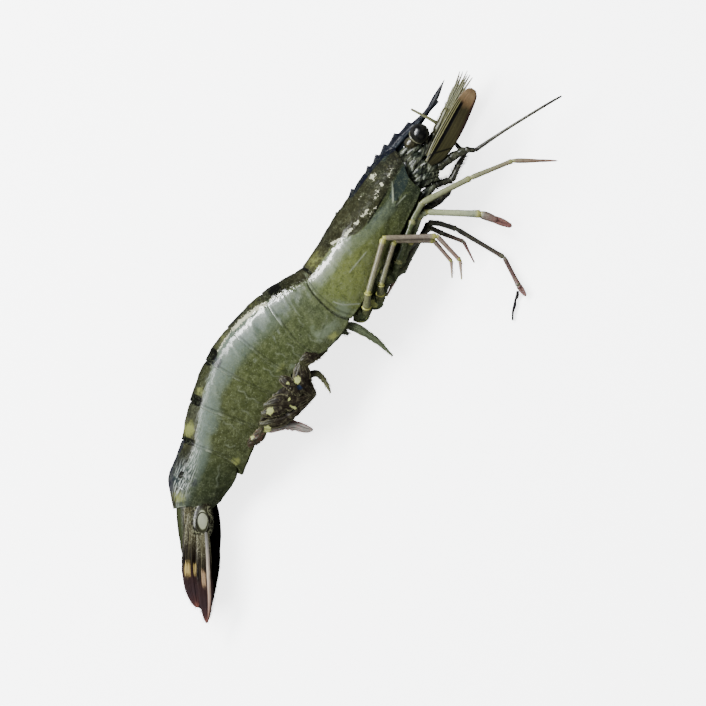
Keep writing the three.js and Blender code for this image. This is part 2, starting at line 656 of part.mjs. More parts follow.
addPiece("breastplate", DARK, breastplate());

// The front of the head, between the carapace and the feelers.
addPiece("head", DARK, limb([
  [33.9, -6.6, HEAD_MIDDLE, 4.2, 5.2],
  [36.4, -7.4, HEAD_MIDDLE, 5.2, 6],
  [38, -9.2, HEAD_MIDDLE, 5.7, 5.9],
  [40, -10.3, HEAD_MIDDLE, 5.5, 5.6],
  [43.5, -11, HEAD_MIDDLE, 4.3, 4.6],
  [45.9, -11.5, HEAD_MIDDLE, 2.4, 3],
], { sides: 12 }));

// ---- Eyes ---------------------------------------------------------------------------------

// A ball on a short stalk, one closed surface: the stalk's tube, then the ball's circles.
function eye(side) {
  const at = ([x, y, wide]) => new THREE.Vector3(x, y, HEAD_MIDDLE + side * wide);
  const root = at(EYE.root);
  const ball = at(EYE.ball);
  const way = ball.clone().sub(root).normalize();
  const station = (centre, radius) => [centre.x, centre.y, centre.z, radius, radius];
  const circles = 8;
  const stations = [station(root, EYE.stalkRadius)];
  for (let i = 1; i < circles; i++) {
    const angle = Math.PI * (1 - i / circles);
    const centre = ball.clone().addScaledVector(way, EYE.radius * Math.cos(angle));
    stations.push(station(centre, Math.max(EYE.radius * Math.sin(angle), i === 1 ? EYE.neckRadius : 0)));
  }
  const tip = ball.clone().addScaledVector(way, EYE.radius);
  stations.push(station(tip, EYE.tipRadius));
  return limb(stations, { sides: 12 });
}

addPiece("eye_right", EYEBALL, eye(1));
addPiece("eye_left", EYEBALL, eye(-1));

// ---- Feelers, legs and blades -------------------------------------------------------------

for (const [name, { root, steps }] of Object.entries(ANTENNAE)) {
  addPiece(name, LEG, limb(walk(root, steps)));
}
for (const [name, { root, foot, whip }] of Object.entries(ANTENNULES)) {
  addPiece(name, LEG, fuse([limb(walk(root, foot)), limb(walk(whip.root, whip.steps))]));
}
for (const [name, shape] of Object.entries(LEGS)) {
  addPiece(name, LEG, leg(shape, CLAWED.test(name)));
}
for (const [name, { root, steps, tilt }] of Object.entries(BLADES)) {
  addPiece(name, FAN, limb(walk(root, steps), { sides: 10, tilt }));
}

// A foot and two blades, fused. The blades start inside the end of the foot.
function pleopod({ along, protopod, exopod, endopod }, side) {
  const root = place(along, -PLEOPOD_HANG * valueAt(BELLY_DEPTH, along), side * PLEOPOD_WIDE);
  const turnOver = (steps) => steps.map(([length, way, rise, ...size]) => {
    return [length, way, side * rise, ...size];
  });
  const foot = walk([root.x, root.y, root.z, ...PLEOPOD_ROOT.foot], turnOver(protopod));
  const [x, y, z] = foot[foot.length - 1];
  const [backX, backY] = foot[foot.length - 2];
  const inside = [x + 0.3 * (backX - x), y + 0.3 * (backY - y)];
  return fuse([
    limb(foot, { sides: 8 }),
    limb(walk([...inside, z, ...PLEOPOD_ROOT.exopod], turnOver(exopod)), { sides: 8 }),
    limb(walk([...inside, z - side * 0.5, ...PLEOPOD_ROOT.endopod], turnOver(endopod)), { sides: 8 }),
  ]);
}

PLEOPODS.forEach((shape, i) => {
  addPiece(`pleopod_${i + 1}_right`, LEG, pleopod(shape, 1));
  addPiece(`pleopod_${i + 1}_left`, LEG, pleopod(shape, -1));
});

addPiece("strand", DARK, limb(walk(STRAND.root, STRAND.steps)));

export default prawn;
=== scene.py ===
import bpy
import numpy as np
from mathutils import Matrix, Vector


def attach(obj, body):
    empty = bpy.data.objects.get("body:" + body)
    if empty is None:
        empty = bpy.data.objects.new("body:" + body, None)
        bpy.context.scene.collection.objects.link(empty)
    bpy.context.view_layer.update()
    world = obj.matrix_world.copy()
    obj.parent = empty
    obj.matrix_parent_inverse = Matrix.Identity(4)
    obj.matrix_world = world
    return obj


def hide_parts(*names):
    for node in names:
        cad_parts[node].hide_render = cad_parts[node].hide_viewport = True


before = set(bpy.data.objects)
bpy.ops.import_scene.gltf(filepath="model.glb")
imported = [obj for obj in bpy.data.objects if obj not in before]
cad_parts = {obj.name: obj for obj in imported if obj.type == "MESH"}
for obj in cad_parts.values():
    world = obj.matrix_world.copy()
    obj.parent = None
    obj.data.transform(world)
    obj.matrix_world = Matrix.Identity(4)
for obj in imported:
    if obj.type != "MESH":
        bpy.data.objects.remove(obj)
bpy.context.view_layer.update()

# A raw tiger prawn on its left side. Sizes are in millimetres in the part's own frame: +X points
# to the head, +Y to the back, -Y to the legs and +Z up. make_piece turns them into metres.
MM = 0.001

# ---- Sizes of the body, as in the solids -----------------------------------------------------

SPINE_START = (35.5, -6.2)
SPINE_HEADING = 173.6
SPINE_BENDS = [
    # along, turn in degrees, length of the bend
    (22, -2.2, 20), (48, -15.9, 12), (60.5, -5.5, 12), (72.9, 17.5, 14), (85.3, 12, 14),
    (99.9, 7.5, 14), (114.9, -6, 14), (132.6, 28.5, 9),
]

CARAPACE_LENGTH = 50.1
PLEONITE_LENGTHS = [15.6, 12.2, 10.6, 12.9, 12.8, 19.0]

BACK_HEIGHT = [(-9, 4.2), (0, 8.9), (21, 11.1), (44, 11.4), (60.5, 14.2), (72.9, 13.6),
               (85.3, 13.8), (99.9, 12.6), (114.9, 11.2), (124, 11.5), (134, 6.6)]
BELLY_DEPTH = [(-9, 5.5), (0, 8.8), (21, 10.6), (44, 12.4), (60.5, 14.3), (72.9, 14.5),
               (85.3, 13.6), (99.9, 12.6), (114.9, 11), (124, 8.8), (134, 6.4)]
HALF_WIDTH = [(-9, 5), (0, 8.4), (12, 10.2), (30, 11), (48, 10.4), (60.5, 10.3), (72.9, 10),
              (85.3, 9.6), (99.9, 8.8), (114.9, 7.6), (124, 6.2), (134, 4.8)]
MIDDLE_HEIGHT = [(-9, 10.5), (30, 10.5), (48, 10), (60.5, 9.9), (72.9, 9.6), (85.3, 9.2),
                 (99.9, 8.4), (114.9, 7.2), (124, 6), (134, 4.9)]
FLAP_TUCK = [(0, 0.3), (48, 0.26), (85, 0.24), (114.9, 0.3), (122, 0.5), (134, 0.6)]
BELLY_GROOVE = [(0, 0.33), (114, 0.33), (122, 0.16), (134, 0.08)]
BACK_ROUNDNESS = [(0, 1.9), (40, 2.2), (60, 2.8), (100, 2.9), (115, 2.5), (134, 2)]

BACK_SHARE = 0.36  # of the way round, where the back becomes the flap
EDGE_SHARE = 0.8  # and where the flap ends
LOBE_DROP = 0.08  # how much shallower the flap is at a segment's ends, as a share
# How far each segment's rear margin runs on behind at the flap's corner, and is cut in on the
# back; and where the carapace's front margin lies, by share of the way round.
REAR_CORNER = [-2, -3.4, -2.8, -1.6, 0.8, 3.2, 0]
REAR_NOTCH = [6, 1.2, 1, 1, 1, 1, -1]
FRONT_MARGIN = [(0, -6.5), (0.2, -5), (0.36, -2.6), (0.55, 0.6), (0.8, 1.7), (1, 2)]
HEAD_MIDDLE = 10.5
SHELL_THICKNESS = 0.35

# ---- Curves ----------------------------------------------------------------------------------


def curve(stations, places):
    """Smooth curve through (place, value, ...) stations: a cubic between each two, its slope at a
    station that of the line between the neighbours, level past both ends."""
    stations = np.asarray(stations, float)
    x, y = stations[:, 0], stations[:, 1:]
    count = np.arange(len(x))
    before = np.maximum(count - 1, 0)
    after = np.minimum(count + 1, len(x) - 1)
    slope = (y[after] - y[before]) / (x[after] - x[before])[:, None]
    places = np.clip(places, x[0], x[-1])
    i = np.clip(np.searchsorted(x, places, side="right") - 1, 0, len(x) - 2)
    span = (x[i + 1] - x[i])[..., None]
    t = (places - x[i])[..., None] / span
    ease = t * t * (3 - 2 * t)
    bend = t * (1 - t) * span
    values = y[i] + (y[i + 1] - y[i]) * ease + bend * ((1 - t) * slope[i] - t * slope[i + 1])
    return values[..., 0] if y.shape[1] == 1 else values


def smooth_step(t):
    """0 below 0, 1 above 1 and an S between: 3t^2 - 2t^3."""
    t = np.clip(t, 0, 1)
    return t * t * (3 - 2 * t)


def bell(away, width):
    """A bell curve: 1 at no distance away, 1/e at this width on both sides."""
    return np.exp(-(away / width) ** 2)


def unit(ways):
    """Ways made one long."""
    return ways / np.linalg.norm(ways, axis=-1, keepdims=True)


def heading(along):
    """The way that the spine runs, in radians from +X: the first heading and each bend's turn."""
    turned = sum(turn * smooth_step((along - at) / over + 0.5) for at, turn, over in SPINE_BENDS)
    return np.radians(SPINE_HEADING + turned)


SPINE_STEP = 0.25
SPINE_FRONT, SPINE_REAR = -12, 170
spine_along = np.arange(SPINE_FRONT, SPINE_REAR, SPINE_STEP)
spine_way = heading(spine_along[:-1] + SPINE_STEP / 2)
spine_x = SPINE_STEP * np.concatenate([[0], np.cumsum(np.cos(spine_way))])
spine_y = SPINE_STEP * np.concatenate([[0], np.cumsum(np.sin(spine_way))])
spine_x += SPINE_START[0] - np.interp(0, spine_along, spine_x)
spine_y += SPINE_START[1] - np.interp(0, spine_along, spine_y)


def place(along, high, wide):
    """The point that is high above the spine and wide of the middle plane, at along on it."""
    angle = heading(along)
    x = np.interp(along, spine_along, spine_x) + high * np.sin(angle)
    y = np.interp(along, spine_along, spine_y) - high * np.cos(angle)
    z = np.maximum(0, curve(MIDDLE_HEIGHT, along) + wide)
    return np.stack(np.broadcast_arrays(x, y, z), -1)


def spots(along, high, table, flat=1):
    """Sum of soft spots, each (along, high, half length, half height, strength): a bell curve of
    both distances from its middle to the power 2 flat, so squarer than round above 1; at most 1."""
    total = 0
    for a, h, half_length, half_height, strength in table:
        away = np.abs((along - a) / half_length) ** (2 * flat)
        aside = np.abs((high - h) / half_height) ** (2 * flat)
        total = total + strength * np.exp(-away - aside)
    return np.minimum(1, total)


def ridge(along, high, start, end, width):
    """1 on the line from start to end, places (along, high), falling as a bell curve to its sides
    and to nothing at its two ends."""
    ax, ay = start
    bx, by = end
    span2 = (bx - ax) ** 2 + (by - ay) ** 2
    t = ((along - ax) * (bx - ax) + (high - ay) * (by - ay)) / span2
    on = np.clip(t, 0, 1)
    away2 = (along - ax - on * (bx - ax)) ** 2 + (high - ay - on * (by - ay)) ** 2
    fade = smooth_step(t * 5 + 0.5) * smooth_step((1 - t) * 5 + 0.5)
    return np.exp(-away2 / width ** 2) * fade


def ridges(along, high, places, width):
    """A broken ridge through a row of places: the sum of one between each two."""
    return sum(ridge(along, high, start, end, width) for start, end in zip(places, places[1:]))


# ---- Meshes ----------------------------------------------------------------------------------


def joined_round(index):
    """The quads between neighbouring rings of point numbers (..., rings, points)."""
    here, there = index[..., :-1, :], index[..., 1:, :]
    corners = [here, np.roll(here, -1, -1), np.roll(there, -1, -1), there]
    return np.stack(corners, -1).reshape(-1, 4)


def closed_skin(points, values, poles=(None, None)):
    """A closed surface from a grid of points, n rings of m: each ring joins round on itself, and
    the end rings are closed to poles, at their means unless given. values holds one grid of
    numbers (n, m) for each attribute."""
    n, m = points.shape[:2]
    index = np.arange(n * m).reshape(n, m)
    first, last = index[0], index[-1]
    fronts = np.stack([np.full(m, n * m), np.roll(first, -1), first], -1)
    rears = np.stack([np.full(m, n * m + 1), last, np.roll(last, -1)], -1)
    ends = [points[k].mean(0) if pole is None else pole for k, pole in zip((0, -1), poles)]
    numbers = {}
    for name, grid in values.items():
        grid = np.broadcast_to(grid, (n, m))
        numbers[name] = np.concatenate([grid.ravel(), [grid[0].mean(), grid[-1].mean()]])
    return facing_out(np.concatenate([points.reshape(-1, 3), ends]), joined_round(index),
                      np.concatenate([fronts, rears]), numbers)


def facing_out(points, quads, triangles, numbers):
    """Turns every face round if the volume that they close comes out negative."""
    fans = np.concatenate([quads[:, [0, 1, 2]], quads[:, [0, 2, 3]], triangles])
    a, b, c = (points[fans[:, k]] for k in range(3))
    if np.sum(a * np.cross(b, c)) < 0:
        quads, triangles = quads[:, ::-1], triangles[:, ::-1]
    return points, quads, triangles, numbers


def make_piece(name, skins, material, nodes):
    """One mesh object from closed skins, in metres, riding on the body in the place of its CAD
    nodes."""
    points, quads, triangles, numbers = zip(*skins)
    starts = np.cumsum([0] + [len(part) for part in points])
    points = np.concatenate(points) * MM
    quads = np.concatenate([part + start for part, start in zip(quads, starts)])
    triangles = np.concatenate([part + start for part, start in zip(triangles, starts)])
    totals = np.repeat([4, 3], [len(quads), len(triangles)])
    mesh = bpy.data.meshes.new(name)
    mesh.vertices.add(len(points))
    mesh.vertices.foreach_set("co", points.ravel())
    mesh.loops.add(quads.size + triangles.size)
    mesh.loops.foreach_set("vertex_index", np.concatenate([quads.ravel(), triangles.ravel()]))
    mesh.polygons.add(len(totals))
    mesh.polygons.foreach_set("loop_start", np.concatenate([[0], np.cumsum(totals)[:-1]]))
    mesh.update(calc_edges=True)
    mesh.polygons.foreach_set("use_smooth", np.ones(len(totals), bool))
    for attribute in numbers[0]:
        layer = mesh.attributes.new(attribute, "FLOAT", "POINT")
        layer.data.foreach_set("value", np.concatenate([part[attribute] for part in numbers]))
    mesh.materials.append(material)
    piece = bpy.data.objects.new(name, mesh)
    bpy.context.scene.collection.objects.link(piece)
    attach(piece, "root")
    if nodes:
        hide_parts(*nodes)


# ---- Shapes carried along a path -------------------------------------------------------------


def along_path(stations, steps):
    """Stations of [x, y, z, sizes...] made a smooth run of steps stations, even in distance."""
    stations = np.asarray(stations, float)
    gaps = np.linalg.norm(np.diff(stations[:, :3], axis=0), axis=1)
    distance = np.concatenate([[0], np.cumsum(gaps)])
    places = np.linspace(0, distance[-1], steps)
    return curve(np.column_stack([distance, stations]), places), places / distance[-1]


def sweep(stations, section, tilt=0.0):
    """Grid of points: a section of (across, up) offsets (n, m, 2), one for each station, carried
    along the stations' places. across lies level unless tilt, in degrees, leans it over."""
    centres = stations[:, :3]
    way = unit(np.gradient(centres, axis=0))
    across = unit(np.cross([0, 0, 1], way))
    upward = np.cross(way, across)
    lean = np.radians(tilt)
    across, upward = (across * np.cos(lean) + upward * np.sin(lean),
                      upward * np.cos(lean) - across * np.sin(lean))
    return (centres[:, None] + section[..., :1] * across[:, None]
            + section[..., 1:] * upward[:, None])


def around(count):
    """count angles, even round a circle."""
    return (np.arange(count) + 0.5) * 2 * np.pi / count


def rod(path, sides, values):
    """A closed rounded tube straight through the [x, y, z, half width, half thickness] stations
    of path. Its attribute across is 1 to -1 over its width."""
    angle = around(sides)
    section = np.stack([path[:, 3:4] * np.cos(angle), path[:, 4:5] * np.sin(angle)], -1)
    values = {"across": np.cos(angle)[None], **values}
    return closed_skin(sweep(path, section), values, (path[0, :3], path[-1, :3]))


def tube(stations, steps, sides, values=None):
    """A rod along the smooth curve through a few stations. Its attribute length is 0 to 1 along
    it."""
    path, length = along_path(stations, steps)
    return rod(path, sides, {"length": length[:, None], **(values or {})})


def rounded_tip(t, size, least):
    """1 along a limb, and falling as a square root to its end over the last share size."""
    return np.sqrt(np.clip((1 - t) / size, least, 1))


def walk(root, steps):
    """The stations of a limb: from the root [x, y, z, sizes], steps of [length, heading in
    degrees, rise, sizes]."""
    stations = [list(root)]
    for length, degrees, rise, *size in steps:
        x, y, z = stations[-1][:3]
        angle = np.radians(degrees)
        stations.append([x + length * np.cos(angle), y + length * np.sin(angle), z + rise, *size])
    return stations


def hairs(roots, ways, lengths, radius, bend, values, steps=5):
    """Many fine tapered hairs as one skin: each leaves its root along its way and bends by bend
    times the square of its length share, its three-sided section shrinking to a point."""
    count = len(roots)
    share = np.linspace(0, 1, steps)
    reach = lengths[:, None, None] * share[None, :, None]
    centres = roots[:, None] + ways[:, None] * reach
    centres = centres + bend[:, None] * (lengths[:, None, None] * share[None, :, None] ** 2)
    side = unit(np.cross(ways, [0.3, 0.2, 0.93]))
    up = np.cross(ways, side)
    angle = around(3)[None, :, None]
    ring = side[:, None] * np.cos(angle) + up[:, None] * np.sin(angle)
    thick = radius * (1 - 0.85 * share)
    points = centres[:, :, None] + ring[:, None] * thick[None, :, None, None]
    index = np.arange(count * steps * 3).reshape(count, steps, 3)
    triangles = np.concatenate([index[:, 0, ::-1], index[:, -1]])
    numbers = {name: np.broadcast_to(value, index.shape).ravel() for name, value in values.items()}
    return facing_out(points.reshape(-1, 3), joined_round(index), triangles, numbers)


# ---- Node trees ------------------------------------------------------------------------------

# How much brighter than an even white room the studio is. Paints are darkened by as much, so that
# the wet shine stands out from them.
STUDIO = 3.4


def rgb(red, green, blue, lit=STUDIO):
    """A colour given as it looks in the studio, sRGB 0 to 255, in the linear values that shaders
    take."""
    share = np.array([red, green, blue]) / 255
    linear = np.where(share <= 0.04045, share / 12.92, ((share + 0.055) / 1.055) ** 2.4)
    return (*(linear / lit).tolist(), 1.0)


class Wire:
    """The output of a node. Sums and products of wires and numbers add Math nodes."""

    def __init__(self, tree, socket):
        self.tree = tree
        self.socket = socket

    def __add__(self, other):
        return self.tree.math("ADD", self, other)

    def __sub__(self, other):
        return self.tree.math("SUBTRACT", self, other)

    def __rsub__(self, other):
        return self.tree.math("SUBTRACT", other, self)

    def __mul__(self, other):
        return self.tree.math("MULTIPLY", self, other)

    def __abs__(self):
        return self.tree.math("ABSOLUTE", self)

    def clamped(self):
        """The value, held between 0 and 1."""
        return self.tree.math("ADD", self, 0.0, use_clamp=True)

    def between(self, low, high):
        """0 where the value is at low, 1 at high and an S between, either way round."""
        ends = (low, high, 0.0, 1.0) if low < high else (high, low, 1.0, 0.0)
        inputs = dict(zip(("From Min", "From Max", "To Min", "To Max"), ends))
        return self.tree.add("ShaderNodeMapRange", {"Value": self, **inputs},
                             interpolation_type="SMOOTHSTEP")


class Tree:
    """Short forms for adding nodes to one node tree. Each returns the new node's output."""

    def __init__(self, tree):
        self.tree = tree

    def put(self, socket, value):
        """Links a wire to an input, or sets its number, or its colour as (red, green, blue)."""
        if isinstance(value, Wire):
            self.tree.links.new(value.socket, socket)
        elif socket.type == "RGBA" and len(value) == 3:
            socket.default_value = rgb(*value)
        else:
            socket.default_value = value

    def add(self, kind, inputs=None, output=0, **settings):
        """A node of a kind, with its inputs by name or number and its settings."""
        node = self.tree.nodes.new(kind)
        for name, value in settings.items():
            setattr(node, name, value)
        for name, value in (inputs or {}).items():
            self.put(node.inputs[name], value)
        return Wire(self, node.outputs[output])

    def attribute(self, name):
        return self.add("ShaderNodeAttribute", attribute_name=name, output="Fac")

    def position(self):
        return self.add("ShaderNodeTexCoord", output="Object")

    def math(self, operation, first, second=0.0, **settings):
        return self.add("ShaderNodeMath", {0: first, 1: second}, operation=operation, **settings)

    def mix(self, factor, first, second):
        return self.add("ShaderNodeMix", {0: factor, 6: first, 7: second}, 2, data_type="RGBA")

    def ramp(self, factor, stops):
        """Colours by factor: stops are (place, red, green, blue), in the order of their places."""
        low, high = stops[0][0], stops[-1][0]
        node = self.tree.nodes.new("ShaderNodeValToRGB")
        elements = node.color_ramp.elements
        for _ in stops[2:]:
            elements.new(0.5)
        for element, (at, *colour) in zip(elements, stops):
            element.position = (at - low) / (high - low)
            element.color = rgb(*colour)
        self.put(node.inputs[0], (factor - low) * (1 / (high - low)))
        return Wire(self, node.outputs[0])

    def clouds(self, scale, detail, roughness, distortion=0.0, vector=None):
        """Cloudy noise over the object's own space, or over another vector."""
        return self.add("ShaderNodeTexNoise", {
            "Vector": vector or self.position(), "Scale": scale, "Detail": detail,
            "Roughness": roughness, "Distortion": distortion})

    def noise(self, size, detail=3.0, roughness=0.6, distortion=0.0):
        """Cloudy noise with lumps about size millimetres across."""
        return self.clouds(1 / (size * MM), detail, roughness, distortion)

    def sway(self, spread, size, detail=3.0, roughness=0.6):
        """Noise about 0, as wide as spread."""
        return (self.noise(size, detail, roughness) - 0.5) * spread

    def bump(self, height, distance, strength, **normal):
        """A normal from a height of 0 to 1, distance millimetres deep, over another Normal."""
        return self.add("ShaderNodeBump", {
            "Height": height, "Distance": distance * MM, "Strength": strength, **normal})


def new_group(name, inputs, outputs):
    """An empty shader node group. inputs are {name: default} and outputs {name: kind}; returns it,
    the Tree to add with, its inputs as wires and the sockets of its outputs."""
    group = bpy.data.node_groups.new(name, "ShaderNodeTree")
    for title, default in inputs.items():
        kind = "NodeSocketColor" if isinstance(default, tuple) else "NodeSocketFloat"
        socket = group.interface.new_socket(title, in_out="INPUT", socket_type=kind)
        socket.default_value = default
    for title, kind in outputs.items():
        group.interface.new_socket(title, in_out="OUTPUT", socket_type=kind)
    tree = Tree(group)
    start = group.nodes.new("NodeGroupInput")
    given = {title: Wire(tree, start.outputs[title]) for title in inputs}
    return group, tree, given, group.nodes.new("NodeGroupOutput").inputs


def mottle_group():
    """Colour broken up by two sizes of cloud: Dark below, Light above, as strong as Amount."""
    group, tree, given, out = new_group("Mottle", {
        "Colour": (0.1, 0.1, 0.05, 1), "Dark": (0.02, 0.02, 0.01, 1), "Light": (0.3, 0.3, 0.1, 1),
        "Scale": 300.0, "Amount": 0.5}, {"Colour": "NodeSocketColor"})
    coarse = tree.clouds(given["Scale"], 5.0, 0.6, 0.4)
    fine = tree.clouds(given["Scale"] * 4.3, 3.0, 0.6)
    cloud = coarse * 0.62 + fine * 0.38
    colour = tree.mix(cloud.between(0.5, 0.38) * given["Amount"], given["Colour"], given["Dark"])
    colour = tree.mix(cloud.between(0.5, 0.63) * given["Amount"], colour, given["Light"])
    tree.put(out["Colour"], colour)
    return group


def wet_group():
    """A wet hard skin: a wavy film with small pits. Pits, 0 to 1, roughens it in places. Puts out
    the film's normal and a roughness."""
    group, tree, given, out = new_group("Wet skin", {"Wave": 0.3, "Pits": 0.0, "Roughness": 0.25}, {
        "Normal": "NodeSocketVector", "Roughness": "NodeSocketFloat"})
    grain = tree.noise(0.9, 2.0, 0.6)
    film = tree.bump(tree.noise(3.0, 2.0, 0.5), 0.4, given["Wave"])
    grained = tree.bump(grain, 0.05, 0.5, Normal=film)
    pitted = tree.bump(tree.noise(1.5, 1.5, 0.5, 0.3), 0.55, given["Pits"], Normal=grained)
    tree.put(out["Normal"], pitted)
    rough = (grain - 0.5) * 0.3 + given["Roughness"]
    tree.put(out["Roughness"], tree.math("MAXIMUM", rough, 0.04))
    return group


def streak_group():
    """Fine lines that run along a blade, from its own length and across values: 0 to 1."""
    group, tree, given, out = new_group("Streaks", {"Length": 0.0, "Across": 0.0, "Lines": 14.0}, {
        "Streak": "NodeSocketFloat"})
    vector = tree.add("ShaderNodeCombineXYZ", {
        "X": given["Length"] * 2.2, "Y": given["Across"] * given["Lines"]})
    tree.put(out["Streak"], tree.clouds(0.6, 3.0, 0.6, 0.0, vector).between(0.34, 0.66))
    return group


def wrinkle_group():
    """Winding lines, where cloudy noise crosses its middle: 1 up to Thin from it, 0 past Wide."""
    group, tree, given, out = new_group("Wrinkles", {
        "Scale": 500.0, "Detail": 3.0, "Roughness": 0.6, "Distortion": 1.0, "Thin": 0.01,
        "Wide": 0.04}, {"Line": "NodeSocketFloat"})
    cloud = tree.clouds(*(given[name] for name in ("Scale", "Detail", "Roughness", "Distortion")))
    tree.put(out["Line"], tree.add("ShaderNodeMapRange", {
        "Value": abs(cloud - 0.5), "From Min": given["Thin"], "From Max": given["Wide"],
        "To Min": 1.0, "To Max": 0.0}, interpolation_type="SMOOTHSTEP"))
    return group


MOTTLE = mottle_group()
WET = wet_group()
STREAKS = streak_group()
WRINKLES = wrinkle_group()


class Finish(Tree):
    """A material under construction: a node tree with one Principled BSDF, and the colour that is
    painted so far."""

    def __init__(self, name, **constants):
        self.material = bpy.data.materials.new(name)
        self.material.use_nodes = True
        super().__init__(self.material.node_tree)
        self.shader = self.tree.nodes["Principled BSDF"]
        self.set(**constants)

    def set(self, **inputs):
        """Sets or links inputs of the shader, and returns the material."""
        for title, value in inputs.items():
            self.put(self.shader.inputs[title.replace("_", " ")], value)
        return self.material

    def group(self, group, **inputs):
        """A node of this group. Returns its outputs by name."""
        node = self.tree.nodes.new("ShaderNodeGroup")
        node.node_tree = group
        for title, value in inputs.items():
            self.put(node.inputs[title], value)
        return {socket.name: Wire(self, socket) for socket in node.outputs}

    def streaks(self, length, across, lines):
        """Fine lines that run along a blade, about as many as lines across it."""
        return self.group(STREAKS, Length=length, Across=across, Lines=lines)["Streak"]

    def wrinkles(self, size, distortion, thin, wide, detail=3.0, roughness=0.6):
        """Winding fine lines about size millimetres apart."""
        return self.group(WRINKLES, Scale=1 / (size * MM), Detail=detail, Roughness=roughness,
                          Distortion=distortion, Thin=thin, Wide=wide)["Line"]

    def paint(self, mask, colour):
        """Lays a colour over what is painted so far, as strong as mask."""
        self.colour = self.mix(mask, self.colour, colour)

    def mottle(self, dark, light, scale, amount):
        """Breaks up what is painted so far with clouds of a darker and a lighter colour."""
        self.colour = self.group(MOTTLE, Colour=self.colour, Dark=dark, Light=light, Scale=scale,
                                 Amount=amount)["Colour"]

    def wet(self, wave, pits, roughness):
        """Joins the painted colour and the wet skin to the shader, and returns the material."""
        skin = self.group(WET, Wave=wave, Pits=pits, Roughness=roughness)
        return self.set(Base_Color=self.colour, Normal=skin["Normal"],
                        Coat_Normal=skin["Normal"], Roughness=skin["Roughness"])


# ---- Shell material --------------------------------------------------------------------------

SIDE_COLOURS = [
    # along, colour of the flank
    (-8, 48, 56, 50), (4, 58, 68, 50), (12, 72, 80, 50), (22, 92, 100, 56), (36, 126, 134, 74),
    (45, 120, 130, 72), (52, 94, 104, 72), (60, 88, 98, 62), (72, 80, 90, 52), (86, 82, 90, 52),
    (100, 82, 88, 54), (113, 72, 78, 48), (120, 58, 66, 42), (134, 54, 60, 44),
]
BACK_COLOURS = [
    # along, colour of the back
    (-8, 30, 30, 28), (3, 48, 49, 38), (12, 54, 55, 38), (24, 54, 54, 36), (34, 46, 46, 30),
    (40, 74, 74, 44), (47, 60, 60, 42), (56, 36, 38, 24), (66, 46, 48, 33), (74, 41, 43, 31),
    (80, 74, 76, 58), (92, 60, 64, 38), (104, 70, 72, 56), (112, 60, 60, 38), (118, 44, 46, 36),
    (126, 44, 48, 54), (134, 64, 60, 36),
]


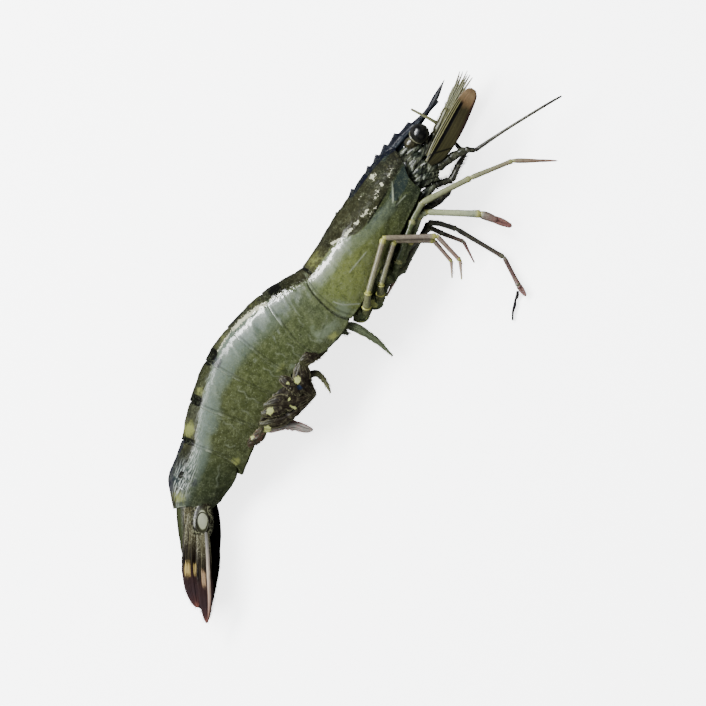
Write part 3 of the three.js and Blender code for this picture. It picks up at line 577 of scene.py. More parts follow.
def shell_material():
    """The wet olive shell. Its pattern follows the body's own values: along and high place it,
    above is the height over the wet ridge where the back ends, rear is the distance to the
    segment's rear margin, gloss is how wet it is, and the others are masks."""
    finish = Finish("shell", Coat_Roughness=0.12, Coat_IOR=1.5, IOR=1.45, Specular_IOR_Level=0.02)
    along, high, above, rear = map(finish.attribute, ("along", "high", "above", "rear"))
    wander = finish.sway(5.0, 5.0, 4.0)
    on_back = (above + finish.sway(2.0, 1.0, 4.0, 0.7)).between(-0.45, 0.45)
    side, back = (finish.ramp(along + wander, colours)
                  for colours in (SIDE_COLOURS, BACK_COLOURS))
    finish.colour = finish.mix(on_back, side, back)
    low = (wander * 0.7 + high).between(-8.0, -13.5)
    finish.paint(low * 0.3, (72, 70, 50))
    for start, end, colour in ((0.2, 1.0, (116, 124, 84)), (-0.2, -1.0, (52, 60, 34))):
        patch = wander.between(start, end) * 0.3
        finish.paint((patch - on_back * 0.7).clamped(), colour)
    amount = along.between(118, 110) * 0.25 + 0.2
    finish.mottle(finish.mix(on_back, (36, 44, 18), (26, 25, 16)),
                  finish.mix(on_back, (126, 134, 94), (92, 92, 66)), scale=480.0, amount=amount)
    speckle = finish.noise(0.55, 2.0, 0.7).between(0.57, 0.72)
    finish.paint(speckle * (amount - on_back * 0.2), (160, 168, 134))
    pepper = finish.noise(0.6, 2.0, 0.7).between(0.42, 0.3)
    finish.paint(pepper * 0.5, (38, 44, 26))
    cloud = finish.noise(1.3, 4.0, 0.65)
    glint_noise = finish.noise(0.6)
    grain = finish.noise(0.7, 3.0, 0.7) * 1.3 + 0.2
    streak = finish.streaks(along * 0.3, high * 0.3, 14.0)
    masks = [
        # mask, its colour and strength; what tears its edge, how far, between which values; breaks
        ("pale", (126, 138, 112), 0.85, (cloud, 1.4, 0.15, 0.75), None),
        # painted sheen: grey paint for the soft reflection on the wet upper flank, broken by grain
        ("haze", (134, 150, 142), 0.72, None, grain),
        ("slate", (48, 60, 60), 0.85, (cloud, 1.0, 0.25, 0.7), None),
        # painted highlight: white streaks just under the ridge of the last rings, and painted sheen
        # in streaks on the last ring
        ("frost", (196, 202, 194), 0.9, None, streak.between(0.35, 0.85)),
        ("yellow", (150, 156, 90), 0.9, (cloud, 1.6, 0.1, 0.9), None),
        ("dark", (11, 11, 9), 0.97, (cloud, 0.25, 0.25, 0.6), None),
        ("blue", (48, 49, 59), 0.8, (cloud, 1.2, 0.2, 0.8), None),
        ("crest", (20, 23, 40), 0.92, (cloud, 0.3, 0.3, 0.65), None),
        # painted glints: bright highlight paint, torn at its edges by noise
        ("scuff", (236, 236, 204), 1.0, (glint_noise, 2.2, 0.4, 0.56), None),
        ("line", (170, 178, 156), 0.75, None, None),
    ]
    for name, colour, strength, torn, breaks in masks:
        mask = finish.attribute(name)
        if torn:
            clouds, tear, start, end = torn
            mask = ((clouds - 0.5) * tear + mask).between(start, end) * mask.between(0.0, 0.15)
        if breaks:
            mask = (mask * breaks).clamped()
        finish.paint(mask * strength, colour)
    broken = finish.noise(2.2).between(0.42, 0.58)
    # A pale rim along each rear margin: the thin lip's paler colour with painted highlight,
    # stronger higher on the flank and left off the back.
    upper = high.between(-1.0, 2.5) * 0.7 + 0.3
    rim = rear.between(0.35, 0.08) * broken * (1.0 - on_back * 0.9)
    finish.paint(rim * upper * 0.65, (156, 164, 142))
    # a thin line of painted shade, as in a groove, about a millimetre in front of each rear margin
    finish.paint(abs(rear - 0.95).between(0.45, 0.1) * 0.4, (34, 40, 28))
    crease = finish.wrinkles(4.0, 2.5, 0.004, 0.016, detail=6.0, roughness=0.7)
    finish.paint(crease * broken * 0.55, (140, 148, 118))
    finish.set(Coat_Weight=finish.attribute("gloss") * (1.0 - on_back * 0.72))
    return finish.wet(wave=0.14, pits=finish.attribute("pits"), roughness=0.4)


# ---- Carapace and tail rings -----------------------------------------------------------------

side_margins = CARAPACE_LENGTH + np.concatenate([[0], np.cumsum(PLEONITE_LENGTHS)])


def flapness(share):
    """How far down the flap: 0 at the back's end, 1 at the flap's edge and under the belly."""
    return np.clip((share - BACK_SHARE) / (EDGE_SHARE - BACK_SHARE), 0, 1)


def rear_margin(segment, share):
    """Where segment 0 (the carapace) to 6 ends: notched on the back, drawn out at the flap."""
    backness = np.cos(np.clip(share / BACK_SHARE, 0, 1) * np.pi / 2)
    return (side_margins[segment] - REAR_NOTCH[segment] * backness ** 2
            + REAR_CORNER[segment] * flapness(share) ** 3)


def section(along, share, scale=1.0, lobe=1.0, swell=0.0):
    """(high, wide) of the shell's section. The back is a rounded arch of power BACK_ROUNDNESS, the
    flap leans in by the power 2.2 of its depth, and the belly is a groove between the flaps.
    swell is an offset outwards in millimetres."""
    half_width = curve(HALF_WIDTH, along)
    depth = curve(BELLY_DEPTH, along) * lobe
    tuck = curve(FLAP_TUCK, along)
    power = 2 / curve(BACK_ROUNDNESS, along)
    angle = np.clip(share / BACK_SHARE, 0, 1) * np.pi / 2
    down = flapness(share)
    out = np.clip(1 - (share - EDGE_SHARE) / (1 - EDGE_SHARE), 0, 1)
    high_back = curve(BACK_HEIGHT, along) * np.abs(np.cos(angle)) ** power
    wide_back = half_width * np.abs(np.sin(angle)) ** power
    high_under = -depth * (1 - curve(BELLY_GROOVE, along) * (1 - out ** 3))
    on_back = share <= BACK_SHARE
    on_flap = share <= EDGE_SHARE
    high = np.where(on_back, high_back, np.where(on_flap, -depth * down, high_under))
    wide = np.where(on_back, wide_back, np.where(on_flap, half_width * (1 - tuck * down ** 2.2),
                                                 half_width * (1 - tuck) * out))
    reach = np.maximum(1e-6, np.hypot(high, wide))
    return high * scale + swell * high / reach, wide * scale + swell * wide / reach


def ways_round(steps):
    """The shares and sides of the points of one ring, from the back down the right side to the
    belly and up the left."""
    share = np.arange(steps + 1) / steps
    sides = np.repeat([1.0, -1.0], [steps + 1, steps - 1])
    return np.concatenate([share, share[-2:0:-1]]), sides


DARK = [
    # along, high, half length, half height, strength of the black bands and spots on the back
    (44.8, 9.6, 0.8, 2.6, 0.9), (59.8, 13, 2.7, 3.4, 1), (73.7, 15, 2.8, 2.4, 0.9),
    (86.2, 13.4, 2.5, 2.9, 1), (99.6, 11.6, 1.6, 3.0, 1), (113, 9.4, 1.4, 2.8, 0.75),
    (125, 7.5, 1.3, 0.8, 1),
]
YELLOW = [
    # yellow-olive patches between the bands, and at the corners of the flaps
    (40.5, 9.4, 3.3, 2.2, 0.55), (68, 13, 2.4, 1.6, 0.3), (80, 12.8, 3.6, 1.3, 0.35),
    (96.8, 11, 1.6, 1.9, 0.6), (109, 10.3, 2.6, 2.2, 1), (131.6, 5.6, 1.4, 2.4, 0.7),
    (76.5, -9, 2.6, 1.6, 0.35), (55, -12, 1.7, 1.1, 1), (114.3, -8, 1.2, 1.6, 1),
]
BLUE = [
    # blue-grey gleams under the black bands, and on the last ring
    (86.7, 9.6, 1.6, 1.5, 0.9), (61.8, 9.9, 1.3, 0.6, 0.9), (125.6, 2.4, 1.7, 1.0, 0.6),
]
PALE = [
    # thin, cloudy parts of the shell
    (47.6, -8, 2.2, 3.8, 0.75), (54.5, -9.6, 4.8, 1.9, 0.8), (58.5, -7, 1.6, 2.8, 0.5),
    (77, -7.6, 3.2, 1.8, 0.35), (46.6, 9.0, 0.8, 1.4, 0.4), (72, -11.5, 3, 1.0, 0.6),
]
SLATE_AND_SHEEN = [
    # blue-grey cheek and the groove behind it, the last ring's blue-grey ground, and a painted
    # blue-grey sheen on the keel at the front of the back
    (1, -2, 4.6, 2.2, 0.9), (6.5, -2.6, 3.6, 1.9, 0.9), (14.5, -0.9, 4.6, 1.3, 0.42),
    (20, -0.8, 2.6, 0.9, 0.3), (-3, 7, 4, 1.3, 0.6), (125.6, 7, 4.2, 3.2, 0.8),
]
PAINTED_GLINTS = [
    # painted glints: bright highlights painted on the right flank and its ridge: start, end, half
    # width, strength
    ((0.4, 2.9), (4.0, 2.3), 0.5, 0.5), ((6.6, 3.5), (7.4, 2.4), 0.65, 0.9),
    ((4.8, 6.4), (7.6, 7.6), 0.7, 0.55), ((5.6, 7.8), (7.2, 5.8), 0.5, 0.55),
    ((9.0, 3.2), (13.0, 2.4), 0.8, 0.48), ((12.5, 6.9), (15.2, 7.1), 0.3, 0.4),
    ((14.0, 1.0), (18.5, 1.4), 0.5, 0.42), ((16.4, 2.7), (19.8, 3.3), 0.5, 0.9),
    ((21.2, 3.3), (23.2, 4.0), 0.6, 0.8), ((24.6, 4.1), (28.2, 4.8), 0.5, 1.0),
    ((29.2, 5.1), (32.8, 7.3), 0.5, 0.9), ((48.5, 7.4), (56.0, 9.0), 0.3, 0.42),
    ((58.0, 9.9), (64.0, 10.4), 0.5, 0.6), ((65.0, 10.4), (77.0, 11.5), 0.85, 0.85),
    ((77.5, 11.5), (84.0, 11.4), 0.4, 0.65),
]
CREASES = {
    # raised pale creases on the flank of each segment, from 0, the carapace: places (along, high)
    0: [[(4.5, 0.4), (10.6, -3.3)], [(6, -0.8), (10, -3.2)], [(6, -5.7), (10.8, -4.6)],
        [(28.7, -4.1), (37.6, -3)], [(44, -11.5), (47, -7), (48, -4)]],
    1: [[(50.5, 6), (55, 5), (58.5, 2), (60.5, -3)], [(51, -9), (54.5, -8.4), (58, -10.6)],
        [(52, -6), (55, -7.2), (59, -9.4)], [(61, -6), (60.2, -9), (58.6, -11.5)]],
    2: [[(71.8, 9), (73.5, 5), (75, 1.4)], [(67, -4), (67.5, -9), (67, -12)],
        [(73, -4), (71.6, -8)]],
    3: [[(79.8, 9), (81, 6), (82.6, 3.8)], [(88.1, 5), (87, 2)],
        [(80, -4), (80.4, -8), (79.8, -11)]],
    4: [[(92.6, 7.4), (95.5, 5.4), (98, 3)], [(91, -1), (92.4, -6), (92, -9)],
        [(96.5, -4), (98, -7.5)]],
    5: [[(105, 5.6), (107.6, 3)], [(112, 1), (115, 1.6)], [(110.6, -2.5), (109.6, -6)],
        [(102.5, 1), (104, -4)]],
    6: [[(117, -3), (124, -5)]],
}

# By place along the spine: how high the wet ridge runs where the back's colour ends, how wet the
# shell is, how pitted it is under the ridge, how high the painted grey sheen starts, how strong
# it is and how high it ends.
RIDGE = [
    (-4, 0.6), (10, 0.2), (20, 0.6), (25, 1.6), (28, 4), (30, 5.6), (35, 6.5), (40, 6.8),
    (46, 7.0), (50, 7.8), (55, 9.2), (60, 10.4), (66, 11), (75, 11.7), (82, 11.7), (86, 11.3),
    (90, 10.2), (95, 9.7), (100, 9), (106, 8), (114, 6.8), (121, 6.8), (134, 6.4),
]
GLOSS = [
    (-4, 0.2), (25, 0.16), (29.5, 0.9), (46, 1), (47.6, 0.4), (53, 0.4), (56, 1), (74, 1),
    (80, 0.5), (87, 0.14), (118, 0.12), (123, 0.25), (134, 0.25),
]
PITS = [
    (-4, 0.8), (24, 0.8), (30, 0.35), (46, 0.3), (48, 1), (54, 1), (60, 0.7), (76, 0.5), (90, 0.2),
    (134, 0.3),
]
PAINTED_SHEEN_FOOT = [
    (4, -3), (10, -5.2), (20, -3.4), (26, -2), (34, 0.6), (46, 1.6), (52, 2.4), (66, 2.2),
    (80, 2.6), (90, 3.2), (95, 4), (101, 2.2), (107, 1.8), (109, 3), (113, 1.8), (122, 1.2),
    (128, 1.2), (134, 2),
]
PAINTED_SHEEN = [
    (-4, 0), (8, 0), (13, 0.5), (30, 0.5), (44, 0.5), (52, 0.15), (58, 0.25), (65, 0.6), (72, 0.8),
    (84, 1), (118, 1), (124, 0.5), (128, 0.2), (134, 0.3),
]
PAINTED_SHEEN_TOP = [(-4, 9), (8, -1.2), (20, 1), (26, 3), (30, 7), (40, 20)]


def body_values(along, high, rear, right):
    """The attributes that the shell's material reads. above is the height over the wet ridge and
    gloss how wet the shell is; pits roughen it under the ridge. dark holds the black bands and the
    painted shade along the top of the back, and yellow, blue, pale and slate their patches; slate
    also holds a painted blue-grey sheen on the keel. crest is the dark edge of the front of the
    back. Three masks are painted light on the right side: a grey sheen painted on the upper flank
    for its soft reflection, from its foot to the ridge; white highlight painted just under the
    ridge of the last rings and in streaks on the last ring; and bright glints painted along the
    flank and its ridge."""
    above = high - curve(RIDGE, along)
    # painted sheen: grey paint for the soft reflection, from its foot up to the wet ridge,
    # strongest high up
    foot = high - curve(PAINTED_SHEEN_FOOT, along) + 1
    haze = 0.5 * smooth_step(foot / 1.6) + 0.5 * smooth_step(foot / 6)
    haze = haze * smooth_step((0.2 - above) / 0.7) * curve(PAINTED_SHEEN, along)
    haze = haze * smooth_step((curve(PAINTED_SHEEN_TOP, along) - high) / 1.4 + 0.5)
    glints = np.where(along < 27, 3.2, curve(RIDGE, along) - 0.1)
    edge = high - curve(BACK_HEIGHT, along)
    crest = smooth_step((edge + 2) / 0.7) * smooth_step((20 - along) / 8)
    tail = smooth_step((along - 112.5) / 1.5) * smooth_step((132 - along) / 2)
    shade = 0.4 * smooth_step((edge + 2.4) / 2) * (1 - spots(along, high, [(109, 10, 3, 4, 1)]))
    dark = np.maximum(spots(along, high, DARK, 2), shade * (1 - tail))
    dark = np.maximum(dark, 0.7 * ridge(along, high, (8, 0.3), (21, 0.4), 0.4))
    # painted highlight just under the ridge from about along 86 back, and painted sheen in streaks
    # on the last ring
    frost = smooth_step((along - 86) / 4) * bell(above + 0.5, 1.1) * 0.55
    frost = frost + spots(along, high, [(126, 6.4, 5.5, 3.6, 0.9), (118, 5.6, 4.5, 1.6, 0.6)], 2)
    blue = spots(along, high, BLUE, 2) + 0.85 * tail * smooth_step((edge + 1.1) / 0.7)
    # painted glints: bright highlights painted along the right flank and its ridge
    scuff = sum(strength * ridge(along, high, start, end, width)
                for start, end, width, strength in PAINTED_GLINTS)
    return {
        "along": along, "high": high, "rear": rear, "above": above, "dark": dark,
        "yellow": spots(along, high, YELLOW), "blue": np.minimum(1, blue), "crest": crest,
        "pale": spots(along, high, PALE), "slate": spots(along, high, SLATE_AND_SHEEN, 2) * right,
        "haze": haze * right, "scuff": np.minimum(1, scuff) * right,
        "frost": np.minimum(1, frost) * right, "gloss": curve(GLOSS, along),
        "pits": np.minimum(1, curve(PITS, along) * bell(high - glints, 1.3)),
    }


def unevenness(along, share, side):
    """Slow swells of the shell, a sum of five waves round and along it, in millimetres."""
    angle = share * np.pi * side
    return (0.10 * np.sin(0.31 * along + 3 * angle) + 0.07 * np.sin(0.83 * along - 5 * angle + 1)
            + 0.05 * np.sin(1.7 * along + 7 * angle + 2)
            + 0.018 * np.sin(2.9 * along + 13 * angle + 2 * np.sin(0.6 * along))
            + 0.03 * np.sin(2.1 * along - 19 * angle + 2 * np.sin(0.9 * along + 4 * angle)))


CARAPACE_RELIEF = [
    # height in millimetres, start and end as places (along, high), half width
    (0.4, (8.4, -3.6), (11.4, -4.2), 0.6),  # the feeler's spine
    (-0.3, (8, -0.8), (22, -0.4), 1.4),  # the groove behind the liver spine
    (-0.3, (-3, -1), (7, -3), 1.8),
    (-0.25, (12, -5.4), (21, -7.6), 1.4),
    (0.3, (-4, 1.8), (24, 3.4), 1.3),
]


def carapace_relief(along, high, share):
    """Ridges and grooves of the carapace, in millimetres: those of CARAPACE_RELIEF, its creases, a
    groove each side of the rostrum's keel, and the thick edge of the flap."""
    relief = sum(0.12 * ridges(along, high, places, 0.3) for places in CREASES[0])
    relief = relief + sum(height * ridge(along, high, start, end, width)
                          for height, start, end, width in CARAPACE_RELIEF)
    below_crest = high - curve(BACK_HEIGHT, along)
    relief -= (0.4 * ridge(along, below_crest, (-2, -2.6), (26, -2.2), 0.9)
               * smooth_step((share - 0.05) / 0.1))
    return relief + 0.25 * bell(share - EDGE_SHARE, 0.02)


def shell_grid(rings, shares, sides):
    """Points of the shell's rings with their heights and places. rings are (along, scale, lobe,
    swell), with along one ring (m) or many (n, m)."""
    grids = []
    for along, *sizes in rings:
        along = np.atleast_2d(along)
        high, wide = section(along, shares, *sizes)
        grids.append((place(along, high, sides * wide), high, along))
    return (np.concatenate(grid) for grid in zip(*grids))


def carapace_skin():
    """The carapace: rings from its front margin to its rear one, and both ends rolled in to a
    hollow."""
    shares, sides = ways_round(100)
    front = curve(FRONT_MARGIN, shares)
    rear = rear_margin(0, shares)
    t = np.linspace(0, 1, 190)[:, None]
    t = t - 0.06 * np.sin(2 * np.pi * t)
    along = front + (rear - front) * t
    high = section(along, shares)[0]
    swell = unevenness(along, shares, sides) * np.sin(np.pi * t)
    swell = swell + carapace_relief(along, high, shares)
    thin = SHELL_THICKNESS / 10
    # the rims: offset of along from the margin, scale
    front_lip = [(6, 0.86), (3, 0.9), (0.8, 1 - 1.6 * thin), (0.1, 1 - thin), (-0.05, 1 - thin / 2)]
    rear_lip = [(0.1, 1 - thin / 3), (0.05, 1 - thin), (-0.6, 1 - 1.3 * thin), (-3.5, 0.93),
                (-6, 0.9)]
    rings = [(front + offset, scale, 1.0, swell[:1]) for offset, scale in front_lip]
    rings.append((along, 1.0, 1 - LOBE_DROP * t ** 4, swell))
    rings += [(rear + offset, scale, 1 - LOBE_DROP, swell[-1:]) for offset, scale in rear_lip]
    points, heights, places = shell_grid(rings, shares, sides)
    values = body_values(places, heights, np.abs(rear - places), sides > 0)
    values["line"] = sum(ridges(places, heights, line, 0.2) for line in CREASES[0]) * (sides > 0)
    return closed_skin(points, values)


# How high above the spine the hinge behind each segment is, from the carapace on, and how bright.
HINGE_HEIGHT = [5, 2, 1.2, 1.7, 1.6, 2, -2.2]
HINGE_BRIGHTNESS = [0, 0.4, 0.5, 0.5, 1.2, 1.2, 0.3]


def pleonite_skin(number):
    """A ring of the tail: a neck inside the ring before it, a shoulder, the outer face and a thin
    rear lip over the next ring's neck. Its relief adds up the hinge knob, the dimple over the
    hinge in front, creases, a keel on the back, thick margins and the last ring's arched back."""
    shares, sides = ways_round(70)
    front = rear_margin(number - 1, shares)
    rear = rear_margin(number, shares)
    before, at = side_margins[number - 1:number + 1]
    front_hinge, hinge = HINGE_HEIGHT[number - 1:number + 1]
    t = np.linspace(0, 1, 56)[:, None]
    along = front + 0.5 + (rear - front - 0.5) * t
    scale = 1 - 0.022 * (1 - smooth_step((along - front - 0.2) / 1.8))
    # the fifth ring's flap is drawn out to a corner behind; the others are rounded at both ends
    behind = -0.07 if number == 5 else LOBE_DROP
    lobe = 1 - np.where(t < 0.5, LOBE_DROP, behind) * np.abs(2 * t - 1) ** 3
    high = section(along, shares)[0]
    swell = (unevenness(along, shares, sides) * np.sin(np.pi * t)
             + 0.45 * spots(along, high, [(at - 0.9, hinge, 0.8, 0.7, 1)])
             - 0.4 * spots(along, high, [(before + 2.2, front_hinge - 0.5, 1.1, 1.6, 1)])
             + 0.12 * sum(ridges(along, high, places, 0.45) for places in CREASES[number])
             + 0.6 * bell(shares, 0.035) * smooth_step((along - 84) / 12)
             + 0.05 * bell(rear - along - 0.35, 0.4) + 0.2 * bell(shares - EDGE_SHARE, 0.03))
    arch = 0.7 * bell(along - 128.5, 2.6) - 0.8 * bell(along - 121.8, 3.2)
    swell = swell + arch * smooth_step((0.2 - shares) / 0.1)
    thin = SHELL_THICKNESS / 9
    # the neck and the rear rim: offset of along from the margin, scale
    neck = [(-4.2, 0.82), (-3, 0.88), (-1.2, 0.93), (-0.2, 0.965)]
    rear_lip = [(0.08, 1 - thin / 3), (0.03, 1 - thin), (-0.6, 1 - 1.3 * thin), (-3.0, 0.94),
                (-5.4, 0.9)]
    rings = [(front + offset, size, 1 - LOBE_DROP) for offset, size in neck]
    rings.append((along, scale, lobe, swell))
    rings += [(rear + offset, size, lobe[-1:], swell[-1:]) for offset, size in rear_lip]
    points, heights, places = shell_grid(rings, shares, sides)
    values = body_values(places, heights, np.abs(rear - places), sides > 0)
    bent = (places + 0.4 * np.sin(1.7 * heights), heights + 0.35 * np.sin(1.9 * places))
    line = 0.36 * sum(ridges(*bent, row, 0.22) for row in CREASES[number])
    line = line + spots(places, heights, [(at - 0.4, hinge, 0.7, 0.6, HINGE_BRIGHTNESS[number]),
                                          (at + 0.3, hinge - 1.2, 0.3, 1.0, 0.4)])
    values["line"] = np.minimum(1, line) * (sides > 0)
    # Painted shade, on the right side only: dark spots in front of and behind each hinge knob, and
    # a darkening in the joint just behind the front margin, under the ring before.
    shade = spots(places, heights, [(at - 2.2, hinge - 0.3, 1.1, 0.9, 0.6),
                                    (at + 1.6, hinge - 0.6, 0.9, 0.7, 0.5)])
    joint = (0.75 if number == 1 else 0.3) * bell(places - front - 0.6, 0.55)
    shade = np.maximum(shade, joint * smooth_step((8 - heights) / 2))
    values["dark"] = np.maximum(values["dark"], 0.7 * shade * (sides > 0))
    return closed_skin(points, values)


# ---- Rostrum ---------------------------------------------------------------------------------

ROSTRUM_LINE = [(10, 6), (20, 4.2), (27, 2.2), (38, -0.4), (47, -2.9), (53, -5.2), (58, -6.6),
                (63, -7.2), (69.6, -7.4)]
ROSTRUM_HALF_HEIGHT = [(10, 1.4), (20, 2), (38, 2.8), (47, 2.4), (53, 1.6), (58, 1), (63, 1.1),
                       (69.6, 0.12)]
ROSTRUM_HALF_THICKNESS = [(10, 1.6), (40, 1.7), (58, 0.9), (69.6, 0.12)]
TOOTH = {"height": 1.2, "length": 4.2}
BACK_TEETH = [14.6, 23.8, 32.9, 37.5, 41.8, 46.6, 51.8]
BELLY_TEETH = [62]


def teeth(x, tips):
    """Height of a saw of forward teeth: each rises from its root to its tip by the power 1.4 and
    drops straight in front."""
    behind = (np.array(tips) - x) / TOOTH["length"]
    rise = np.where((behind >= -0.06) & (behind <= 1), (1 - np.abs(behind)).clip(0) ** 1.4, 0)
    return TOOTH["height"] * rise.max(-1, keepdims=True)


def rostrum_skin():
    """The rostrum: a lens-shaped section between its upper and lower edge, with a side keel,
    carried from the carapace's crest to its tip."""
    start, tip = ROSTRUM_LINE[0][0], ROSTRUM_LINE[-1][0]
    x = np.linspace(start, tip, 300)[:, None]
    up = curve(ROSTRUM_HALF_HEIGHT, x) + teeth(x, BACK_TEETH)
    down = 0.8 * curve(ROSTRUM_HALF_HEIGHT, x) + 0.6 * teeth(x, BELLY_TEETH)
    angle = around(28)
    rise = np.sin(angle)
    high = np.where(rise > 0, up, down) * rise
    keel = 0.4 + 0.6 * bell(rise + 0.1, 0.3)
    wide = curve(ROSTRUM_HALF_THICKNESS, x) * keel
    wide = wide * np.sign(np.cos(angle)) * np.abs(np.cos(angle)) ** 0.6
    points = [x, curve(ROSTRUM_LINE, x) + high, HEAD_MIDDLE + wide]
    values = {"length": (x - start) / (tip - start), "across": rise[None]}
    return closed_skin(np.stack(np.broadcast_arrays(*points), -1), values)


def rostrum_material():
    """Blue-black horn, greyer low on its side, paler at the tip."""
    finish = Finish("rostrum", Coat_Weight=0.07, Coat_Roughness=0.12, IOR=1.5,
                    Specular_IOR_Level=0.02)
    length = finish.attribute("length")
    low = finish.ramp(length, [(0, 46, 46, 38), (0.35, 48, 54, 58), (0.6, 44, 52, 60),
                               (0.8, 36, 38, 46), (1, 90, 92, 92)])
    top = finish.ramp(length, [(0, 30, 32, 36), (0.25, 20, 23, 40), (0.8, 18, 20, 34),
                               (0.93, 28, 30, 40), (1, 110, 112, 110)])
    upper = (finish.attribute("across") + finish.sway(0.7, 1.6, 4.0)).between(-0.1, 0.5)
    finish.colour = finish.mix(upper, low, top)
    finish.mottle((12, 13, 20), (96, 104, 112), scale=700.0, amount=0.35)
    return finish.wet(wave=0.2, pits=0.2, roughness=0.4)


# ---- Eyes ------------------------------------------------------------------------------------

EYE = {"root": (44.4, -5.2, 2.7), "ball": (49.6, -7.1, 6.6), "radius": 3.3}


def eye_parts(side):
    """(root, ball middle, unit way from the stalk to the ball) of one eye."""
    root, ball = (np.array([x, y, HEAD_MIDDLE + side * z])
                  for x, y, z in (EYE["root"], EYE["ball"]))
    return root, ball, unit(ball - root)


def turned_skin(centre, way, profile, sides, length):
    """A surface of revolution about the line through centre along way: profile is (distance
    along, radius) pairs, and length their values of that attribute."""
    across = unit(np.cross(way, [0, 0, 1]))
    angle = around(sides)[:, None]
    ring = across * np.cos(angle) + np.cross(way, across) * np.sin(angle)
    middles = centre + way * profile[:, :1]
    points = middles[:, None] + profile[:, 1:, None] * ring
    return closed_skin(points, {"length": length[:, None]}, (middles[0], middles[-1]))


def arc(radius, angles):
    """(distance along, radius) pairs on a circle."""
    return radius * np.column_stack([np.cos(angles), np.sin(angles)])


def eyeball_skin(side):
    """The ball: a circle from pole to pole turned about the stalk's line, slightly flattened."""
    _, ball, way = eye_parts(side)
    profile = arc(EYE["radius"], np.linspace(0.04, np.pi - 0.04, 40)) * [-0.94, 1]
    return turned_skin(ball, way, profile, 64, np.linspace(0, 1, 40))


def eyestalk_skin(side):
    """The stalk, and the cup that holds the ball: one profile, out along the stalk, round the
    cup's outside to its rolled rim and back inside."""
    root, ball, way = eye_parts(side)
    radius = EYE["radius"]
    back = np.radians([158, 150, 142, 134, 128])
    stalk = np.array([[0, 1.4], [0.4, 2.0], [1.6, 2.1], [2.6, 1.9]])
    stalk[:, 0] -= np.linalg.norm(ball - root)
    profile = np.concatenate([stalk, arc(radius * 1.09, back), [[-radius * 0.6, radius * 0.86]],
                              arc(radius * 0.98, back[::-1])])
    cup = np.linspace(0.7, 0.97, 5)
    length = np.concatenate([np.linspace(0, 0.6, 4), cup, [1], cup[::-1]])
    return turned_skin(ball, way, profile, 48, length)


def eyeball_material():
    """Glossy black with a faint net of facets."""
    finish = Finish("eyeball", Coat_Weight=0.1, Coat_Roughness=0.1, IOR=1.4, Roughness=0.22)
    facets = finish.add("ShaderNodeTexVoronoi", {"Vector": finish.position(), "Scale": 4200.0})
    cloud = finish.noise(1.6, 3.0, 0.5).between(0.4, 0.7)
    return finish.set(Normal=finish.bump(facets, 0.04, 0.5),
                      Base_Color=finish.mix(cloud, (14, 15, 15), (46, 46, 42)))


def eyestalk_material():
    """Olive-brown, with the cup's rim pale."""
    finish = Finish("eyestalk", Coat_Weight=0.7, Coat_Roughness=0.12, IOR=1.45)
    finish.colour = finish.ramp(finish.attribute("length"), [
        (0, 40, 38, 28), (0.5, 70, 66, 44), (0.85, 58, 56, 44), (0.95, 120, 118, 90),
        (1, 150, 150, 122)])
    finish.mottle((24, 24, 18), (140, 138, 104), scale=900.0, amount=0.5)
    return finish.wet(wave=0.3, pits=0.3, roughness=0.3)


# ---- Legs ------------------------------------------------------------------------------------

